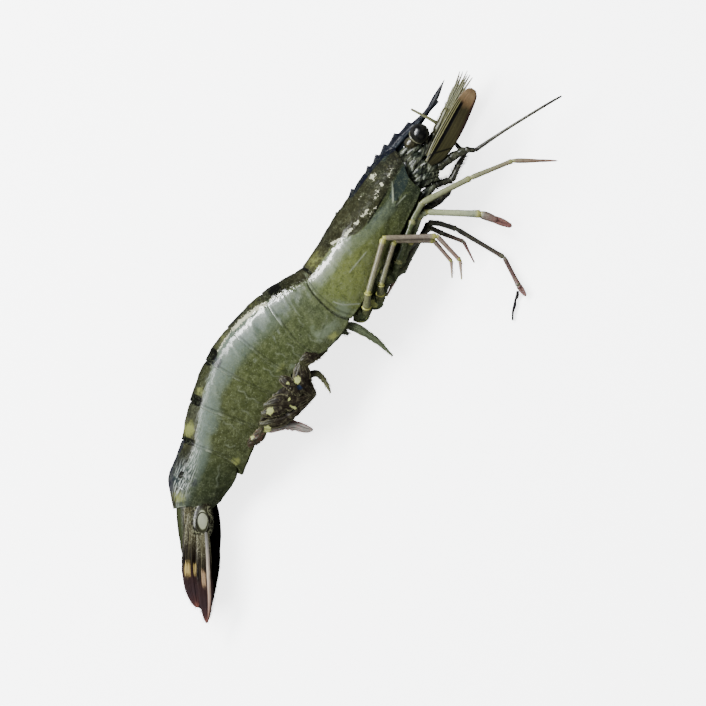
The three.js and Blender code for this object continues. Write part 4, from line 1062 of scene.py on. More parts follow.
LEGS = {
    "pereopod_5_right": ((-12.6, -14.8, 13, 1.7), [
        (2.7, 16, 4.6, 1.5), (4.4, 17, 2.9, 1.15), (18.8, 8, 1.9, 1), (17.7, -64, -2.9, 0.9),
        (11.1, -112, -3.5, 0.7), (6.3, -151, -2, 0.25)]),
    "pereopod_4_right": ((-6.6, -17.3, 12.6, 1.8), [
        (2.5, 16, 4, 1.4), (2.9, 22, 2.3, 1.15), (15.1, 7, 1.1, 0.95), (13.2, -66, -2.7, 0.85),
        (8.9, -115, -3.3, 0.65), (5.6, -153, -2, 0.25)]),
    "pereopod_3_right": ((3, -18, 13, 1.8), [
        (5, 5, 2.6, 1.45), (14.5, 4, 0.7, 1.3), (6.2, -3, -0.8, 1.25), (18.7, -39, -2, 1),
        (15.1, -44, -1.5, 0.8), (15.1, -66, -1.5, 0.35)]),
    "pereopod_2_right": ((9.5, -18.6, 11.2, 1.6), [
        (6, 0, 2.6, 1.3), (8.7, 4, 0.2, 1.15), (2.9, -31, -0.3, 1.15), (18.5, -68, -2.4, 1.25),
        (11.1, -88, -1.5, 1.1)]),
    "pereopod_1_right": ((16.5, -18.3, 11, 1.4), [
        (4, -3, -0.1, 1.15), (6.1, 6, 0, 1.05), (6.1, -35, -0.2, 0.95), (6.2, -30, -0.7, 0.5)]),
    "pereopod_1_left": ((15, -18.3, 7.8, 1.3), [
        (5.5, -3, 0.2, 1.05), (5.9, 3, 0, 1), (5.8, -37, -0.4, 0.9), (6.1, -27, -0.6, 0.5)]),
    "pereopod_2_left": ((8.5, -18.7, 8.2, 1.4), [
        (5.8, 18, -3, 1.1), (10, -2, -0.2, 1.05), (3.8, -39, 0, 1), (17.9, -69, -0.6, 0.9),
        (10.7, -87, -0.8, 0.6)]),
    "pereopod_3_left": ((3.5, -18.2, 8.6, 1.7), [
        (3.7, -36, -3.1, 1.35), (4.3, -3, -3.1, 1.15), (13.6, -6, -0.2, 1.1), (3.3, -69, 0, 1),
        (6, -84, -0.2, 0.95), (18.8, -97, -0.4, 0.8), (10.9, -129, 0, 0.9), (4.1, -121, 0, 0.7)]),
    "pereopod_4_left": ((-4.5, -17.2, 8.2, 1.6), [
        (4.5, 0, -4.7, 1.2), (7.8, 1, -0.3, 1.1), (6.6, -20, 1.4, 1), (9.5, -22, 0.2, 0.95),
        (4.7, -91, -0.2, 0.9), (7.5, -87, -0.6, 0.7), (8, -129, -0.6, 0.25)]),
    "pereopod_5_left": ((-12, -14.9, 7.5, 1.6), [
        (4, -9, -4.1, 1.2), (4.2, -5, -1.9, 1.05), (15.3, -2, -0.4, 0.95), (9.4, -163, -0.2, 0.8),
        (6.5, 177, -0.1, 0.3)]),
    "maxilliped_3_right": ((29.5, -17, 12.6, 1.35), [
        (4, 0, 0.4, 1.3), (4.2, -34, 0, 1.2), (4.9, -51, -0.4, 1.15), (5.5, -1, -0.6, 0.9),
        (5, -8, -0.5, 0.4)]),
    "maxilliped_3_left": ((29.5, -17, 6.8, 1.3), [
        (4, 0, 0.8, 1.2), (4.1, -32, 0.8, 1.1), (4.8, -49, 0.4, 1.05), (5.5, -1, 0.1, 0.85),
        (4.6, -6, 0, 0.4)]),
}
CLAWS = {
    # where the fingers of a claw start, as a share of the last podomere, and how far apart they are
    "pereopod_1_right": (0.45, 0.34), "pereopod_1_left": (0.45, 0.34),
    "pereopod_2_right": (0.42, 0.42), "pereopod_2_left": (0.42, 0.42),
    "pereopod_3_right": (0.55, 0.3), "pereopod_3_left": (0.1, 0.42),
}


def leg_skins(name):
    """A jointed leg: each podomere is a tube that is narrow where it enters the one before, slim
    along its length and swollen at its far joint. Clawed legs end in a palm and two fingers.
    Attributes: length 0 to 1 along the leg, joint 1 at each joint, across 1 to -1."""
    stations = np.array(walk(*LEGS[name]))
    gaps = np.linalg.norm(np.diff(stations[:, :3], axis=0), axis=1)
    reach = np.concatenate([[0], np.cumsum(gaps)]) / gaps.sum()
    t = np.linspace(0, 1, 28)
    last = len(gaps) - 1
    skins = []
    for k, (start, end) in enumerate(zip(stations, stations[1:])):
        overlap = 0.35 * start[3] / gaps[k] if k else 0
        share = -overlap + (1 + overlap) * t
        centres = start[:3] + (end[:3] - start[:3]) * share[:, None]
        radius = start[3] + (end[3] - start[3]) * np.clip(share, 0, 1)
        radius = radius * (1 - 0.14 * np.sin(np.pi * t) ** 0.6 + 0.12 * bell(t - 0.95, 0.05))
        radius = radius * (0.72 + 0.28 * smooth_step(t / 0.12)) * rounded_tip(t, 0.03, 0.2)
        if k == last and name in CLAWS:
            skins += claw_skins(name, centres, radius, t, reach[k:])
            continue
        joint = np.maximum(bell(t - 1, 0.1), 0.9 * bell(t, 0.06) * (k > 0))
        values = {"length": np.interp(share, (0, 1), reach[k:k + 2])[:, None],
                  "joint": joint[:, None]}
        skins.append(rod(np.column_stack([centres, radius * 1.04, radius * 0.96]), 14, values))
    return skins


def claw_skins(name, centres, radius, t, reach):
    """The palm, and two fingers that part, run beside each other and meet at their tips."""
    split, spread = CLAWS[name]
    palm_end = split + 0.12
    palm = t <= palm_end
    palm_size = radius[palm] * (1 + 0.35 * np.sin(np.pi * t[palm] / palm_end))
    shapes = [(centres[palm], palm_size, t[palm])]
    way = centres[-1] - centres[0]
    beside = np.cross([0, 0, 1], unit(way))
    u = np.linspace(0, 1, 18)
    share = split + (1 - split) * u
    size = np.interp(share, t, radius)
    finger = size * 0.78 * (1 - 0.35 * u) * rounded_tip(u, 0.12, 0.15)
    for side, bow in ((1, 0.9), (-1, 0.63)):
        apart = side * size * spread * (0.9 + bow * np.sin(np.pi * u)) * (1 - 0.75 * u ** 3)
        middle = centres[0] + way * share[:, None] + beside * apart[:, None]
        shapes.append((middle, finger, share))
    return [rod(np.column_stack([middle, size, size]), 12, {
        "length": np.interp(share, (0, 1), reach)[:, None],
        "joint": bell(share, 0.06)[:, None] * 0.8}) for middle, size, share in shapes]


def leg_hairs(name, count, length, seed):
    """Short bristles on both edges of a leg's outer podomeres."""
    stations = np.array(walk(*LEGS[name]))
    random = np.random.default_rng(seed)
    picks = random.uniform(1.2, len(stations) - 1.2, count)
    k = picks.astype(int)
    share = (picks - k)[:, None]
    middles = stations[k, :4] * (1 - share) + stations[k + 1, :4] * share
    way = unit(stations[k + 1, :3] - stations[k, :3])
    side = random.choice([-1, 1], count)[:, None]
    beside = unit(np.cross([0, 0, 1], way)) * side
    out = unit(beside + way * 0.9 + random.normal(0, 0.2, (count, 3)))
    roots = middles[:, :3] + beside * middles[:, 3:] * 0.8
    values = {"length": (picks / len(stations))[:, None, None], "joint": 0.0, "across": 0.9}
    return hairs(roots, out, length * random.uniform(0.6, 1.1, count), 0.06, way * 0.2, values)


# Each: (length along the leg, colour of its middle) stops, colour of its edges, of its joints.
LEG_COLOURS = {
    "pale_leg": ([(0, 84, 96, 62), (0.26, 100, 110, 74), (0.36, 166, 172, 128),
                  (0.66, 156, 156, 122), (0.82, 150, 136, 114), (1, 160, 116, 102)],
                 (54, 54, 38), (176, 178, 120)),
    "red_claw_leg": ([(0, 86, 98, 64), (0.2, 116, 128, 88), (0.34, 188, 198, 152),
                      (0.6, 204, 212, 170), (0.76, 158, 168, 146),
                      (0.8, 146, 132, 122), (0.9, 150, 108, 102),
                      (1, 156, 108, 104)],
                     (48, 46, 34), (206, 204, 120)),
    "brown_leg": ([(0, 100, 108, 68), (0.2, 142, 142, 106), (0.4, 152, 142, 116),
                   (0.7, 156, 142, 130), (0.88, 170, 138, 124), (1, 232, 214, 190)],
                  (52, 44, 34), (208, 208, 110)),
    "dark_leg": ([(0, 88, 98, 66), (0.3, 134, 134, 122), (0.44, 118, 118, 106),
                  (0.56, 78, 76, 68), (0.7, 76, 70, 64), (0.86, 112, 86, 82),
                  (1, 158, 118, 114)],
                 (18, 18, 16), (112, 112, 90)),
    "black_leg": ([(0, 40, 42, 34), (0.5, 38, 38, 34), (1, 70, 66, 58)],
                  (10, 10, 9), (96, 96, 84)),
}


def leg_material(name):
    """A thin wet cuticle: the colour runs along the leg, the edges are dark lines and the joints
    are of another colour."""
    stops, edge, joint = LEG_COLOURS[name]
    finish = Finish(name, Coat_Weight=0.3, Coat_Roughness=0.2, IOR=1.45, Specular_IOR_Level=0.1)
    finish.colour = finish.ramp(finish.attribute("length"), stops)
    across = abs(finish.attribute("across")) + finish.sway(0.5, 1.2)
    finish.paint(across.between(0.75, 1.0) * 0.7, edge)
    finish.paint(finish.attribute("joint").between(0.15, 0.7) * 0.9, joint)
    finish.mottle(edge, (196, 196, 160), scale=1100.0, amount=0.3)
    return finish.wet(wave=0.2, pits=0.1, roughness=0.35)


LEG_FINISH = {
    "pereopod_3_right": "pale_leg", "pereopod_2_right": "red_claw_leg",
    "pereopod_2_left": "red_claw_leg", "pereopod_5_right": "brown_leg",
    "pereopod_4_right": "brown_leg", "pereopod_5_left": "brown_leg",
    "pereopod_4_left": "dark_leg", "pereopod_3_left": "dark_leg",
    "pereopod_1_right": "black_leg", "pereopod_1_left": "black_leg",
    "maxilliped_3_right": "black_leg", "maxilliped_3_left": "black_leg",
}


# ---- Blades: scales of the feelers, tail fan and swimming legs -------------------------------


def blade(stations, tilt, count, sides, edge_power, wave, ribs=(), ragged=0.0):
    """A leaf-shaped plate through its stations, of count rings of sides points, leaned over by
    tilt degrees. Its section is a lens: the thickness falls as
    (1 - across^2)^edge_power towards both edges. ribs are (across, height, width) ridges on both
    faces, wave bends the plate up and down across its width, and ragged is how far its edges
    wander."""
    path, length = along_path(stations, count)
    path[:, 3] *= 1 + ragged * np.sin(31 * length + 3 * np.sin(12 * length))
    length = length[:, None]
    wide, thick = path[:, 3:4], path[:, 4:5]
    angle = around(sides)
    across = np.cos(angle)
    face = np.sign(np.sin(angle))
    rib = sum(height * bell(across - at, width) for at, height, width in ribs)
    taper = np.sin(np.pi * np.clip(length, 0.03, 0.97)) ** 0.4
    up = (thick * face * (1 - across ** 2) ** edge_power
          + face * rib * taper * np.minimum(1, wide)
          + wave * wide * np.sin(2.2 * across + 5 * length)
          + ragged * thick * np.sin(7 * across + 17 * length))
    points = sweep(path, np.stack([wide * across, up], -1), tilt)
    points[..., 2] = np.maximum(points[..., 2], 0.02)
    return closed_skin(points, {"length": length, "across": across[None]},
                       (path[0, :3], path[-1, :3]))


def fringe(stations, span, side, count, length, lean, radius, seed, tilt=0.0):
    """Fine hairs along one edge of a blade, side 1 or -1, from share span[0] to span[1] of its
    length, leaning towards its tip by lean. length and radius are the hairs' own."""
    steps = 200
    path, _ = along_path(stations, steps)
    random = np.random.default_rng(seed)
    picks = np.sort(random.uniform(*span, count)) * (steps - 1)
    centres, before = (np.stack([np.interp(at, np.arange(steps), row) for row in path.T], -1)
                       for at in (picks, picks - 1))
    way = unit(centres[:, :3] - before[:, :3])
    beside = unit(np.cross([0, 0, 1], way)) * side
    roots = centres[:, :3] + beside * centres[:, 3:4] * 0.97
    roots[:, 2] += np.sin(np.radians(tilt)) * side * centres[:, 3]
    out = unit(beside + way * lean + random.normal(0, 0.12, (count, 3)) * [1, 1, 0.5])
    roots[:, 2] = np.maximum(roots[:, 2], 0.1)
    out[:, 2] = np.maximum(out[:, 2], 0)
    values = {"length": (picks / (steps - 1))[:, None, None], "across": float(side)}
    return hairs(roots, out, length * random.uniform(0.7, 1.15, count), radius, way * 0.25, values)


BLADES = {
    # middle line [x, y, z, half width, half thickness] of each plate, and its lean in degrees
    "antennal_scale_right": (walk((41.6, -13.8, 16.9, 1.4, 0.6), [
        (5.1, -16, 0.3, 3.1, 0.5), (8.6, -7, 0, 3.6, 0.45), (9, -4, -0.2, 3.1, 0.4),
        (4.8, -6, -0.2, 2.2, 0.35), (1.4, -10, 0, 0.9, 0.3)]), 8),
    "antennal_scale_left": (walk((41.6, -12.8, 4.2, 1.4, 0.6), [
        (5.1, -8, -0.4, 3, 0.5), (8.6, -4, 0, 3.3, 0.45), (9, -4, 0.1, 2.8, 0.4),
        (4.4, -5, 0.1, 1.7, 0.35), (1.4, -8, 0, 0.6, 0.3)]), -8),
    "telson": (walk((-90, 15.4, 5.2, 4.2, 3.4), [
        (4.4, 204, -0.2, 4.5, 3.4), (4.4, 200, 0, 4.1, 3), (6.8, 206, 0, 3.6, 2.5),
        (9, 208, 0.1, 2.7, 2), (8.1, 209, 0.1, 1.8, 1.4), (6.4, 212, 0.1, 0.4, 0.4)]), 0),
    "uropod_base_right": ([
        [-90.6, 10.8, 7.2, 1.8, 1.4], [-94.2, 8.9, 8.6, 3.4, 1.9], [-97.8, 7.1, 9.6, 3.8, 1.9],
        [-101.2, 5.5, 9.6, 3.1, 1.6], [-103.4, 4.6, 9.4, 1.3, 1.0]], 0),
    "uropod_base_left": ([
        [-90.4, 7.4, 2.6, 1.4, 1.2], [-93.9, 5.9, 1.9, 2.6, 1.3], [-98, 4.2, 1.6, 3.0, 1.3],
        [-101, 2.8, 1.5, 1.4, 0.8]], 0),
    "uropod_endopod_right": ([
        [-96.6, 11.2, 7.9, 2.0, 0.8], [-101.6, 9, 8.7, 2.9, 0.7], [-106, 7.3, 8.8, 3.2, 0.6],
        [-113.7, 3.9, 8.5, 3.5, 0.5], [-119.6, 0.6, 8, 3.0, 0.4], [-123.6, -2.1, 7.6, 1.5, 0.35],
        [-124.6, -3, 7.5, 0.4, 0.3]], 0),
    "uropod_exopod_right": ([
        [-98.4, 6.9, 9.8, 1.8, 0.8], [-101.4, 5.4, 10.4, 2.2, 0.7], [-107, 2.6, 10.5, 2.5, 0.6],
        [-113.9, -0.7, 10.1, 2.6, 0.5], [-120.7, -4.2, 9.5, 2.3, 0.45], [-126, -6.8, 8.9, 1.3, 0.4],
        [-128.2, -7.8, 8.7, 0.3, 0.3]], 0),
    "uropod_endopod_left": (walk((-102, 8.2, 1.7, 1.5, 0.4), [
        (5.4, 202, -0.1, 2.8, 0.4), (8.4, 206, 0, 3.3, 0.4), (6.8, 210, 0.1, 2.8, 0.35),
        (4.4, 214, 0.1, 1.4, 0.3), (1.2, 220, 0, 0.4, 0.25)]), 0),
    "uropod_exopod_left": ([
        [-91, 6.9, 2.6, 1.4, 0.7], [-95.4, 5, 1.3, 2.6, 0.6], [-100.2, 3.2, 0.65, 3.3, 0.45],
        [-104, 1.8, 0.55, 3.4, 0.4], [-110.6, -0.4, 0.55, 3.8, 0.4],
        [-118.1, -3.1, 0.55, 3.1, 0.35],
        [-123.4, -5.5, 0.55, 1.7, 0.3], [-125.4, -6.4, 0.55, 0.5, 0.25]], 0),
}


def scale_material():
    """Scale of the feeler: dark olive, striped along its inner edge, with a black band beside the
    stripes, a maroon outer edge, a dark seam near its foot and a tan tip."""
    finish = Finish("feeler_scale", Coat_Weight=0.22, Coat_Roughness=0.2, IOR=1.45,
                    Specular_IOR_Level=0.1)
    length, across = map(finish.attribute, ("length", "across"))
    wander = finish.sway(0.24, 1.5, 4.0)
    finish.colour = finish.ramp(length + wander * 0.4, [
        (0, 40, 38, 26), (0.2, 54, 52, 32), (0.5, 62, 58, 38), (0.74, 48, 42, 28),
        (0.82, 120, 94, 66), (0.92, 158, 130, 98), (1, 120, 92, 66)])
    finish.paint(finish.streaks(length, across, 9.0) * 0.35, (90, 88, 56))
    stem = length.between(0.84, 0.78)
    placed = across + wander * 0.4
    stripes = finish.math("SINE", placed * 34.0).between(-0.3, 0.5)
    finish.paint(placed.between(0.5, 0.58) * stem,
                 finish.mix(stripes, (26, 24, 16), (132, 130, 86)))
    finish.paint(abs(placed - 0.38).between(0.2, 0.13) * stem, (7, 6, 5))
    seam = abs(across * 0.133 + length - 0.17)
    finish.paint(seam.between(0.02, 0.008) * 0.9, (12, 11, 9))
    outer = (across + wander).between(-0.6, -0.86) * length.between(0.3, 0.55)
    finish.paint(outer * 0.85, (44, 18, 26))
    return finish.wet(wave=0.2, pits=0.1, roughness=0.4)


def fan_material(name, patches, rib=None, root=(84, 82, 58)):
    """Tail fan: olive at its root, then dark brown, maroon and a red tip, with pale and dark
    streaks and pale wrinkles. Each patch is (length, across, half length, half width, colour), and
    rib is (across, half width) of a pale ridge."""
    finish = Finish(name, Coat_Weight=0.05, Coat_Roughness=0.2, IOR=1.45, Specular_IOR_Level=0.02)
    length, across = map(finish.attribute, ("length", "across"))
    streak = finish.streaks(length, across, 22.0)
    shifted = (streak - 0.5) * 0.07 + length
    finish.colour = finish.ramp(shifted, [
        (0, *root), (0.2, 74, 70, 50), (0.36, 34, 27, 20), (0.52, 24, 17, 14), (0.62, 62, 44, 42),
        (0.84, 64, 50, 52), (0.95, 84, 58, 56), (1, 150, 96, 84)])
    light = streak.between(0.62, 0.88) * length.between(0.62, 0.26)
    finish.paint(light * 0.75, (150, 144, 110))
    wrinkle = finish.wrinkles(2.0, 1.2, 0.01, 0.035)
    finish.paint(wrinkle * length.between(0.42, 0.22) * 0.6, (172, 172, 142))
    for at, side, half, wide, colour in patches:
        over = abs(shifted + finish.sway(0.08, 0.9) - at).between(half * 1.4, half * 0.6)
        finish.paint(over * abs(across - side).between(wide * 1.15, wide * 0.8), colour)
    finish.paint(streak.between(0.4, 0.05) * 0.75, (14, 10, 9))
    if rib:
        at, width = rib
        pale = abs(across - at).between(width, width * 0.5) * length.between(1.0, 0.9)
        finish.paint(pale * 0.9, finish.ramp(length, [
            (0, 110, 112, 104), (0.2, 160, 156, 152), (0.45, 234, 216, 194),
            (0.75, 216, 180, 158), (1, 130, 84, 74)]))
    return finish.wet(wave=0.25, pits=0.12, roughness=0.4)


def plain_material(name, dark, light, coat, size=2.5, spot=None):
    """A wet cuticle of two mottled colours in patches size millimetres across, with spots of a
    third."""
    finish = Finish(name, Coat_Weight=coat, Coat_Roughness=0.16, IOR=1.45, Specular_IOR_Level=0.05)
    finish.colour = finish.mix(finish.noise(size, 4.0, 0.6, 0.5).between(0.35, 0.65), dark, light)
    if spot:
        finish.paint(finish.noise(size * 1.7, 2.0, 0.5).between(0.6, 0.68) * 0.85, spot)
    finish.mottle(dark, light, scale=1200.0, amount=0.4)
    return finish.wet(wave=0.35, pits=0.2, roughness=0.4)


def oval_material():
    """Foot of the tail blades: a grey-white oval window that darkens to its edge, in dark olive
    shell with pale wrinkles."""
    finish = Finish("uropod_base", Coat_Weight=0.12, Coat_Roughness=0.12, IOR=1.45,
                    Specular_IOR_Level=0.1)
    length = (finish.attribute("length") - 0.54) * 3.7
    across = (finish.attribute("across") - 0.05) * 1.8
    away = finish.math("SQRT", length * length + across * across) + finish.sway(0.16, 1.0)
    wrinkle = finish.wrinkles(2.0, 1.0, 0.012, 0.045)
    outside = finish.mix(wrinkle * 0.7, (38, 36, 24), (160, 162, 130))
    inside = finish.ramp(away, [(0, 186, 190, 166), (0.7, 172, 176, 148), (0.8, 70, 72, 52),
                                (1.0, 44, 42, 28)])
    finish.colour = finish.mix(away.between(0.98, 1.1), inside, outside)
    return finish.wet(wave=0.25, pits=0.15, roughness=0.3)


# ---- Swimming legs ---------------------------------------------------------------------------

LOBES = [
    # each right swimming leg's blades: [x, y, z, half width, half thickness]
    [[[-18.5, -9.6, 15, 1.3, 0.8], [-17.9, -13.3, 14.6, 1.4, 0.8], [-18.2, -17, 14.2, 1.3, 0.6],
      [-19.2, -22.2, 14, 1.0, 0.5], [-21.6, -28.8, 13.8, 0.22, 0.3]],
     [[-20.5, -8.6, 13, 1.2, 0.7], [-20.6, -10.6, 12.6, 1.1, 0.6], [-21, -12.4, 12.4, 0.35, 0.4]]],
    [[[-35.8, -1.4, 17.9, 1.3, 0.8], [-33.6, -3.1, 18.2, 2.1, 0.8], [-30.9, -5.3, 17, 2.0, 0.8],
      [-28.1, -7.5, 14.6, 0.9, 0.7]],
     [[-40, -5.2, 14.2, 0.9, 0.5], [-37.9, -6.5, 14.4, 1.1, 0.45], [-37.1, -8.3, 14.3, 1.0, 0.4],
      [-38.2, -11, 14, 0.85, 0.35], [-39.7, -13.1, 13.8, 0.6, 0.3],
      [-41.2, -14.8, 13.6, 0.15, 0.2]]],
    [[[-36, -1, 17.6, 1.5, 0.8], [-38.6, -3, 18, 2.6, 0.9], [-41.6, -5, 17.4, 2.9, 1.0],
      [-43.2, -8, 16, 2.0, 0.9], [-43.8, -10.2, 15.2, 0.7, 0.6]],
     [[-43.2, 3.4, 17.4, 0.9, 0.5], [-43.6, -0.2, 18, 1.9, 0.7], [-44.4, -3.5, 17.8, 2.0, 0.8],
      [-45.9, -5.8, 16.8, 1.0, 0.6]],
     [[-54.2, 3.8, 16.8, 0.9, 0.6], [-51, -0.2, 17.4, 2.5, 0.9], [-49.4, -3.6, 17.2, 2.8, 0.9],
      [-46.2, -7.2, 16.2, 2.0, 0.8], [-43.6, -9.6, 15.2, 0.8, 0.6]],
     [[-39.5, -1, 16.2, 1.8, 0.7], [-44, -2, 16.4, 3.6, 0.8], [-50, -0.8, 16.2, 3.6, 0.8],
      [-56, 1.6, 15.8, 2.2, 0.7], [-60.5, 3.4, 15, 1.0, 0.5]]],
    [[[-60.4, 2.6, 16.2, 1.0, 0.7], [-58.3, -0.9, 16.6, 1.7, 0.8], [-55.4, -4, 16.4, 1.9, 0.8],
      [-51.1, -6.6, 16.2, 1.6, 0.7], [-47, -8.6, 15.6, 1.2, 0.6], [-43.3, -10.2, 15, 0.6, 0.5]],
     [[-57, 3.4, 17.2, 1.0, 0.6], [-55, 0.9, 17.6, 1.8, 0.8], [-53, -1.8, 17.6, 1.6, 0.7],
      [-50.6, -4, 17, 0.8, 0.5]]],
    [[[-61.2, 0.8, 14.9, 1.4, 0.6], [-59.8, -1.5, 15, 1.4, 0.5], [-57.3, -4.8, 14.6, 1.5, 0.45],
      [-55.9, -8.6, 14.3, 1.6, 0.4], [-55.5, -12, 14, 1.3, 0.35], [-54.9, -14.3, 13.8, 0.3, 0.25]],
     [[-60.9, 1.2, 14.8, 1.3, 0.8], [-64, 1.4, 15.2, 1.9, 0.9], [-66.8, 2.8, 14.6, 1.6, 0.8],
      [-68.8, 4, 13.2, 0.8, 0.6]]],
]
LOBE_MIDDLE = 9.4  # the right legs are mirrored about this height to make the left ones
PLEOPOD_YELLOW = [
    # x, y, half length, half width, strength of the yellow marks
    (-41.7, -2.9, 1.6, 1.2, 1), (-43.8, -0.5, 0.8, 0.9, 0.7), (-54.7, 1.1, 1.6, 1.3, 1),
    (-48.5, -3.1, 0.9, 0.5, 0.8), (-50.4, -5.4, 0.6, 1.7, 0.8), (-65.1, 3.1, 1.2, 0.8, 0.8),
    (-60.6, -0.4, 1.6, 1.3, 1),
]
PLEOPOD_BLUE = [(-43.6, -4.6, 1.2, 1.2, 0.8)]
# Beyond this y each leg's blades are painted lighter: painted light, as though shining through.
LIT_THROUGH_BELOW = [-9.5, -6.5, -9.5, -9.5, -0.8]  # each leg's blades are thin beyond this y


def pleopod_skins(number, side):
    """A swimming leg: its foot and blades as overlapping leaves, and hairs on their edges. Its
    attributes yellow and blue are its marks, and thin marks its thin part, where light is painted
    on as though shining through it."""
    skins = []
    for k, lobe in enumerate(LOBES[number - 1]):
        stations = [[x, y, max(0.9, LOBE_MIDDLE + side * (z - LOBE_MIDDLE)), *size]
                    for x, y, z, *size in lobe]
        skins.append(blade(stations, 0, 60, 40, edge_power=0.5, wave=0.06,
                           ribs=[(0.1, 0.15, 0.1)], ragged=0.09))
        skins += [fringe(stations, (0.3, 0.98), edge, 24, 0.8, 1.8, 0.03,
                         number * 10 + k * 2 + edge) for edge in (1, -1)]
    for points, _, _, numbers in skins:
        x, y, _ = points.T
        for mark, table in (("yellow", PLEOPOD_YELLOW), ("blue", PLEOPOD_BLUE)):
            numbers[mark] = spots(x, y, table) * (side > 0)
        numbers["thin"] = smooth_step((LIT_THROUGH_BELOW[number - 1] - y) / 2)
    return skins


def pleopod_material(name, middle, edge, foot, tip, light):
    """A swimming leg's blade: a darker middle, light edges, a foot of another colour, painted light
    on its thin part as though shining through it, and yellow and blue marks."""
    finish = Finish(name, Coat_Weight=0.08, Coat_Roughness=0.2, IOR=1.45, Specular_IOR_Level=0.03)
    length, across, thin = map(finish.attribute, ("length", "across", "thin"))
    streak = finish.streaks(length, across, 8.0)
    finish.colour = finish.ramp(length, [(0, *foot), (0.25, *middle), (0.8, *middle), (1, *tip)])
    # painted light on the thin part, as though shining through the blade
    finish.paint(thin * streak.between(0.0, 0.5) * 0.75, light)
    finish.paint(abs(across).between(0.8, 0.97) * 0.85, finish.mix(thin, (140, 136, 106), edge))
    finish.paint(streak.between(0.5, 0.1) * 0.6, (16, 13, 13))
    finish.paint(streak.between(0.8, 1.0) * 0.4, (124, 120, 92))
    finish.mottle((16, 13, 14), edge, scale=800.0, amount=0.26)
    torn = finish.sway(1.1, 0.6)
    for mark, colour in (("blue", (34, 46, 72)), ("yellow", (206, 214, 136))):
        finish.paint((finish.attribute(mark) + torn).between(0.4, 0.62) * 0.9, colour)
    return finish.wet(wave=0.3, pits=0.15, roughness=0.4)


# ---- Feelers and the head --------------------------------------------------------------------

ANTENNAE = {
    "antenna_right": ((42.4, -17.2, 14.3, 1.9), [
        (4.9, -32, 0.5, 1.6), (5.5, -39, 0, 1.2), (3.2, -68, -0.4, 0.75), (10, -32, -1.4, 0.55),
        (10.6, -34, -0.6, 0.5), (9.8, -35, -0.4, 0.45), (3.8, -37, -0.2, 0.35)]),
    "antenna_left": ((42.4, -17.2, 6.7, 1.8), [
        (4.8, -30, -0.4, 1.5), (4.8, -38, -0.2, 1.1), (3.6, 62, 0, 0.6), (5.6, 44, 0, 0.5),
        (5.2, 22, 0, 0.35)]),
}
ANTENNULES = {
    "antennule_right": {
        "root": (43, -11.9, 13.4, 1.5),
        "foot": [(9, -2, 0.4, 1.7), (9, -1, -0.2, 1.4), (7, -1, -0.2, 0.9), (5.5, -3, -0.2, 0.35)],
        "whip": ((55, -12.2, 13.6, 0.7), [(4, 84, 1.2, 0.55), (7, 86, -0.4, 0.4)]),
    },
    "antennule_left": {
        "root": (46.8, -11.5, 7.9, 1.5),
        "foot": [(7, -6, -0.1, 1.3), (9, -2, 0, 1), (6, -1, 0, 0.7), (5.5, -2, -0.1, 0.35)],
        "whip": ((61, -12.4, 7.9, 0.7), [(4, 14, 0.4, 0.55), (4, 4, 0.2, 0.3)]),
    },
}


def antenna_skins(name):
    """The feeler: three stout joints, then a whip of fine rings."""
    stations = np.array(walk(*ANTENNAE[name]))
    skins = []
    for k in range(3):
        start, end = stations[k:k + 2]
        # share of the way along the joint, radius, half width and half thickness as shares of it
        rows = [(-0.1, start[3], 0.7, 0.7), (0.1, start[3], 1, 0.92),
                (0.5, (start[3] + end[3]) / 2, 0.9, 0.84), (0.92, end[3], 1.08, 1),
                (1, end[3], 0.7, 0.7)]
        path = [[*(start + share * (end - start))[:3], size * wide, size * thick]
                for share, size, wide, thick in rows]
        skins.append(tube(path, 24, 20, {"length": (k + np.linspace(0, 1, 24)[:, None]) / 10}))
    count = 420
    path, share = along_path(stations[3:], count)
    rings = 1 + 0.10 * np.sin(np.arange(count) * np.pi / 1.5)
    size = path[:, 3] * rings * rounded_tip(share, 0.01, 0.2)
    path = np.column_stack([path[:, :3], size, size])
    skins.append(rod(path, 8, {"length": (0.3 + 0.7 * share)[:, None]}))
    return skins


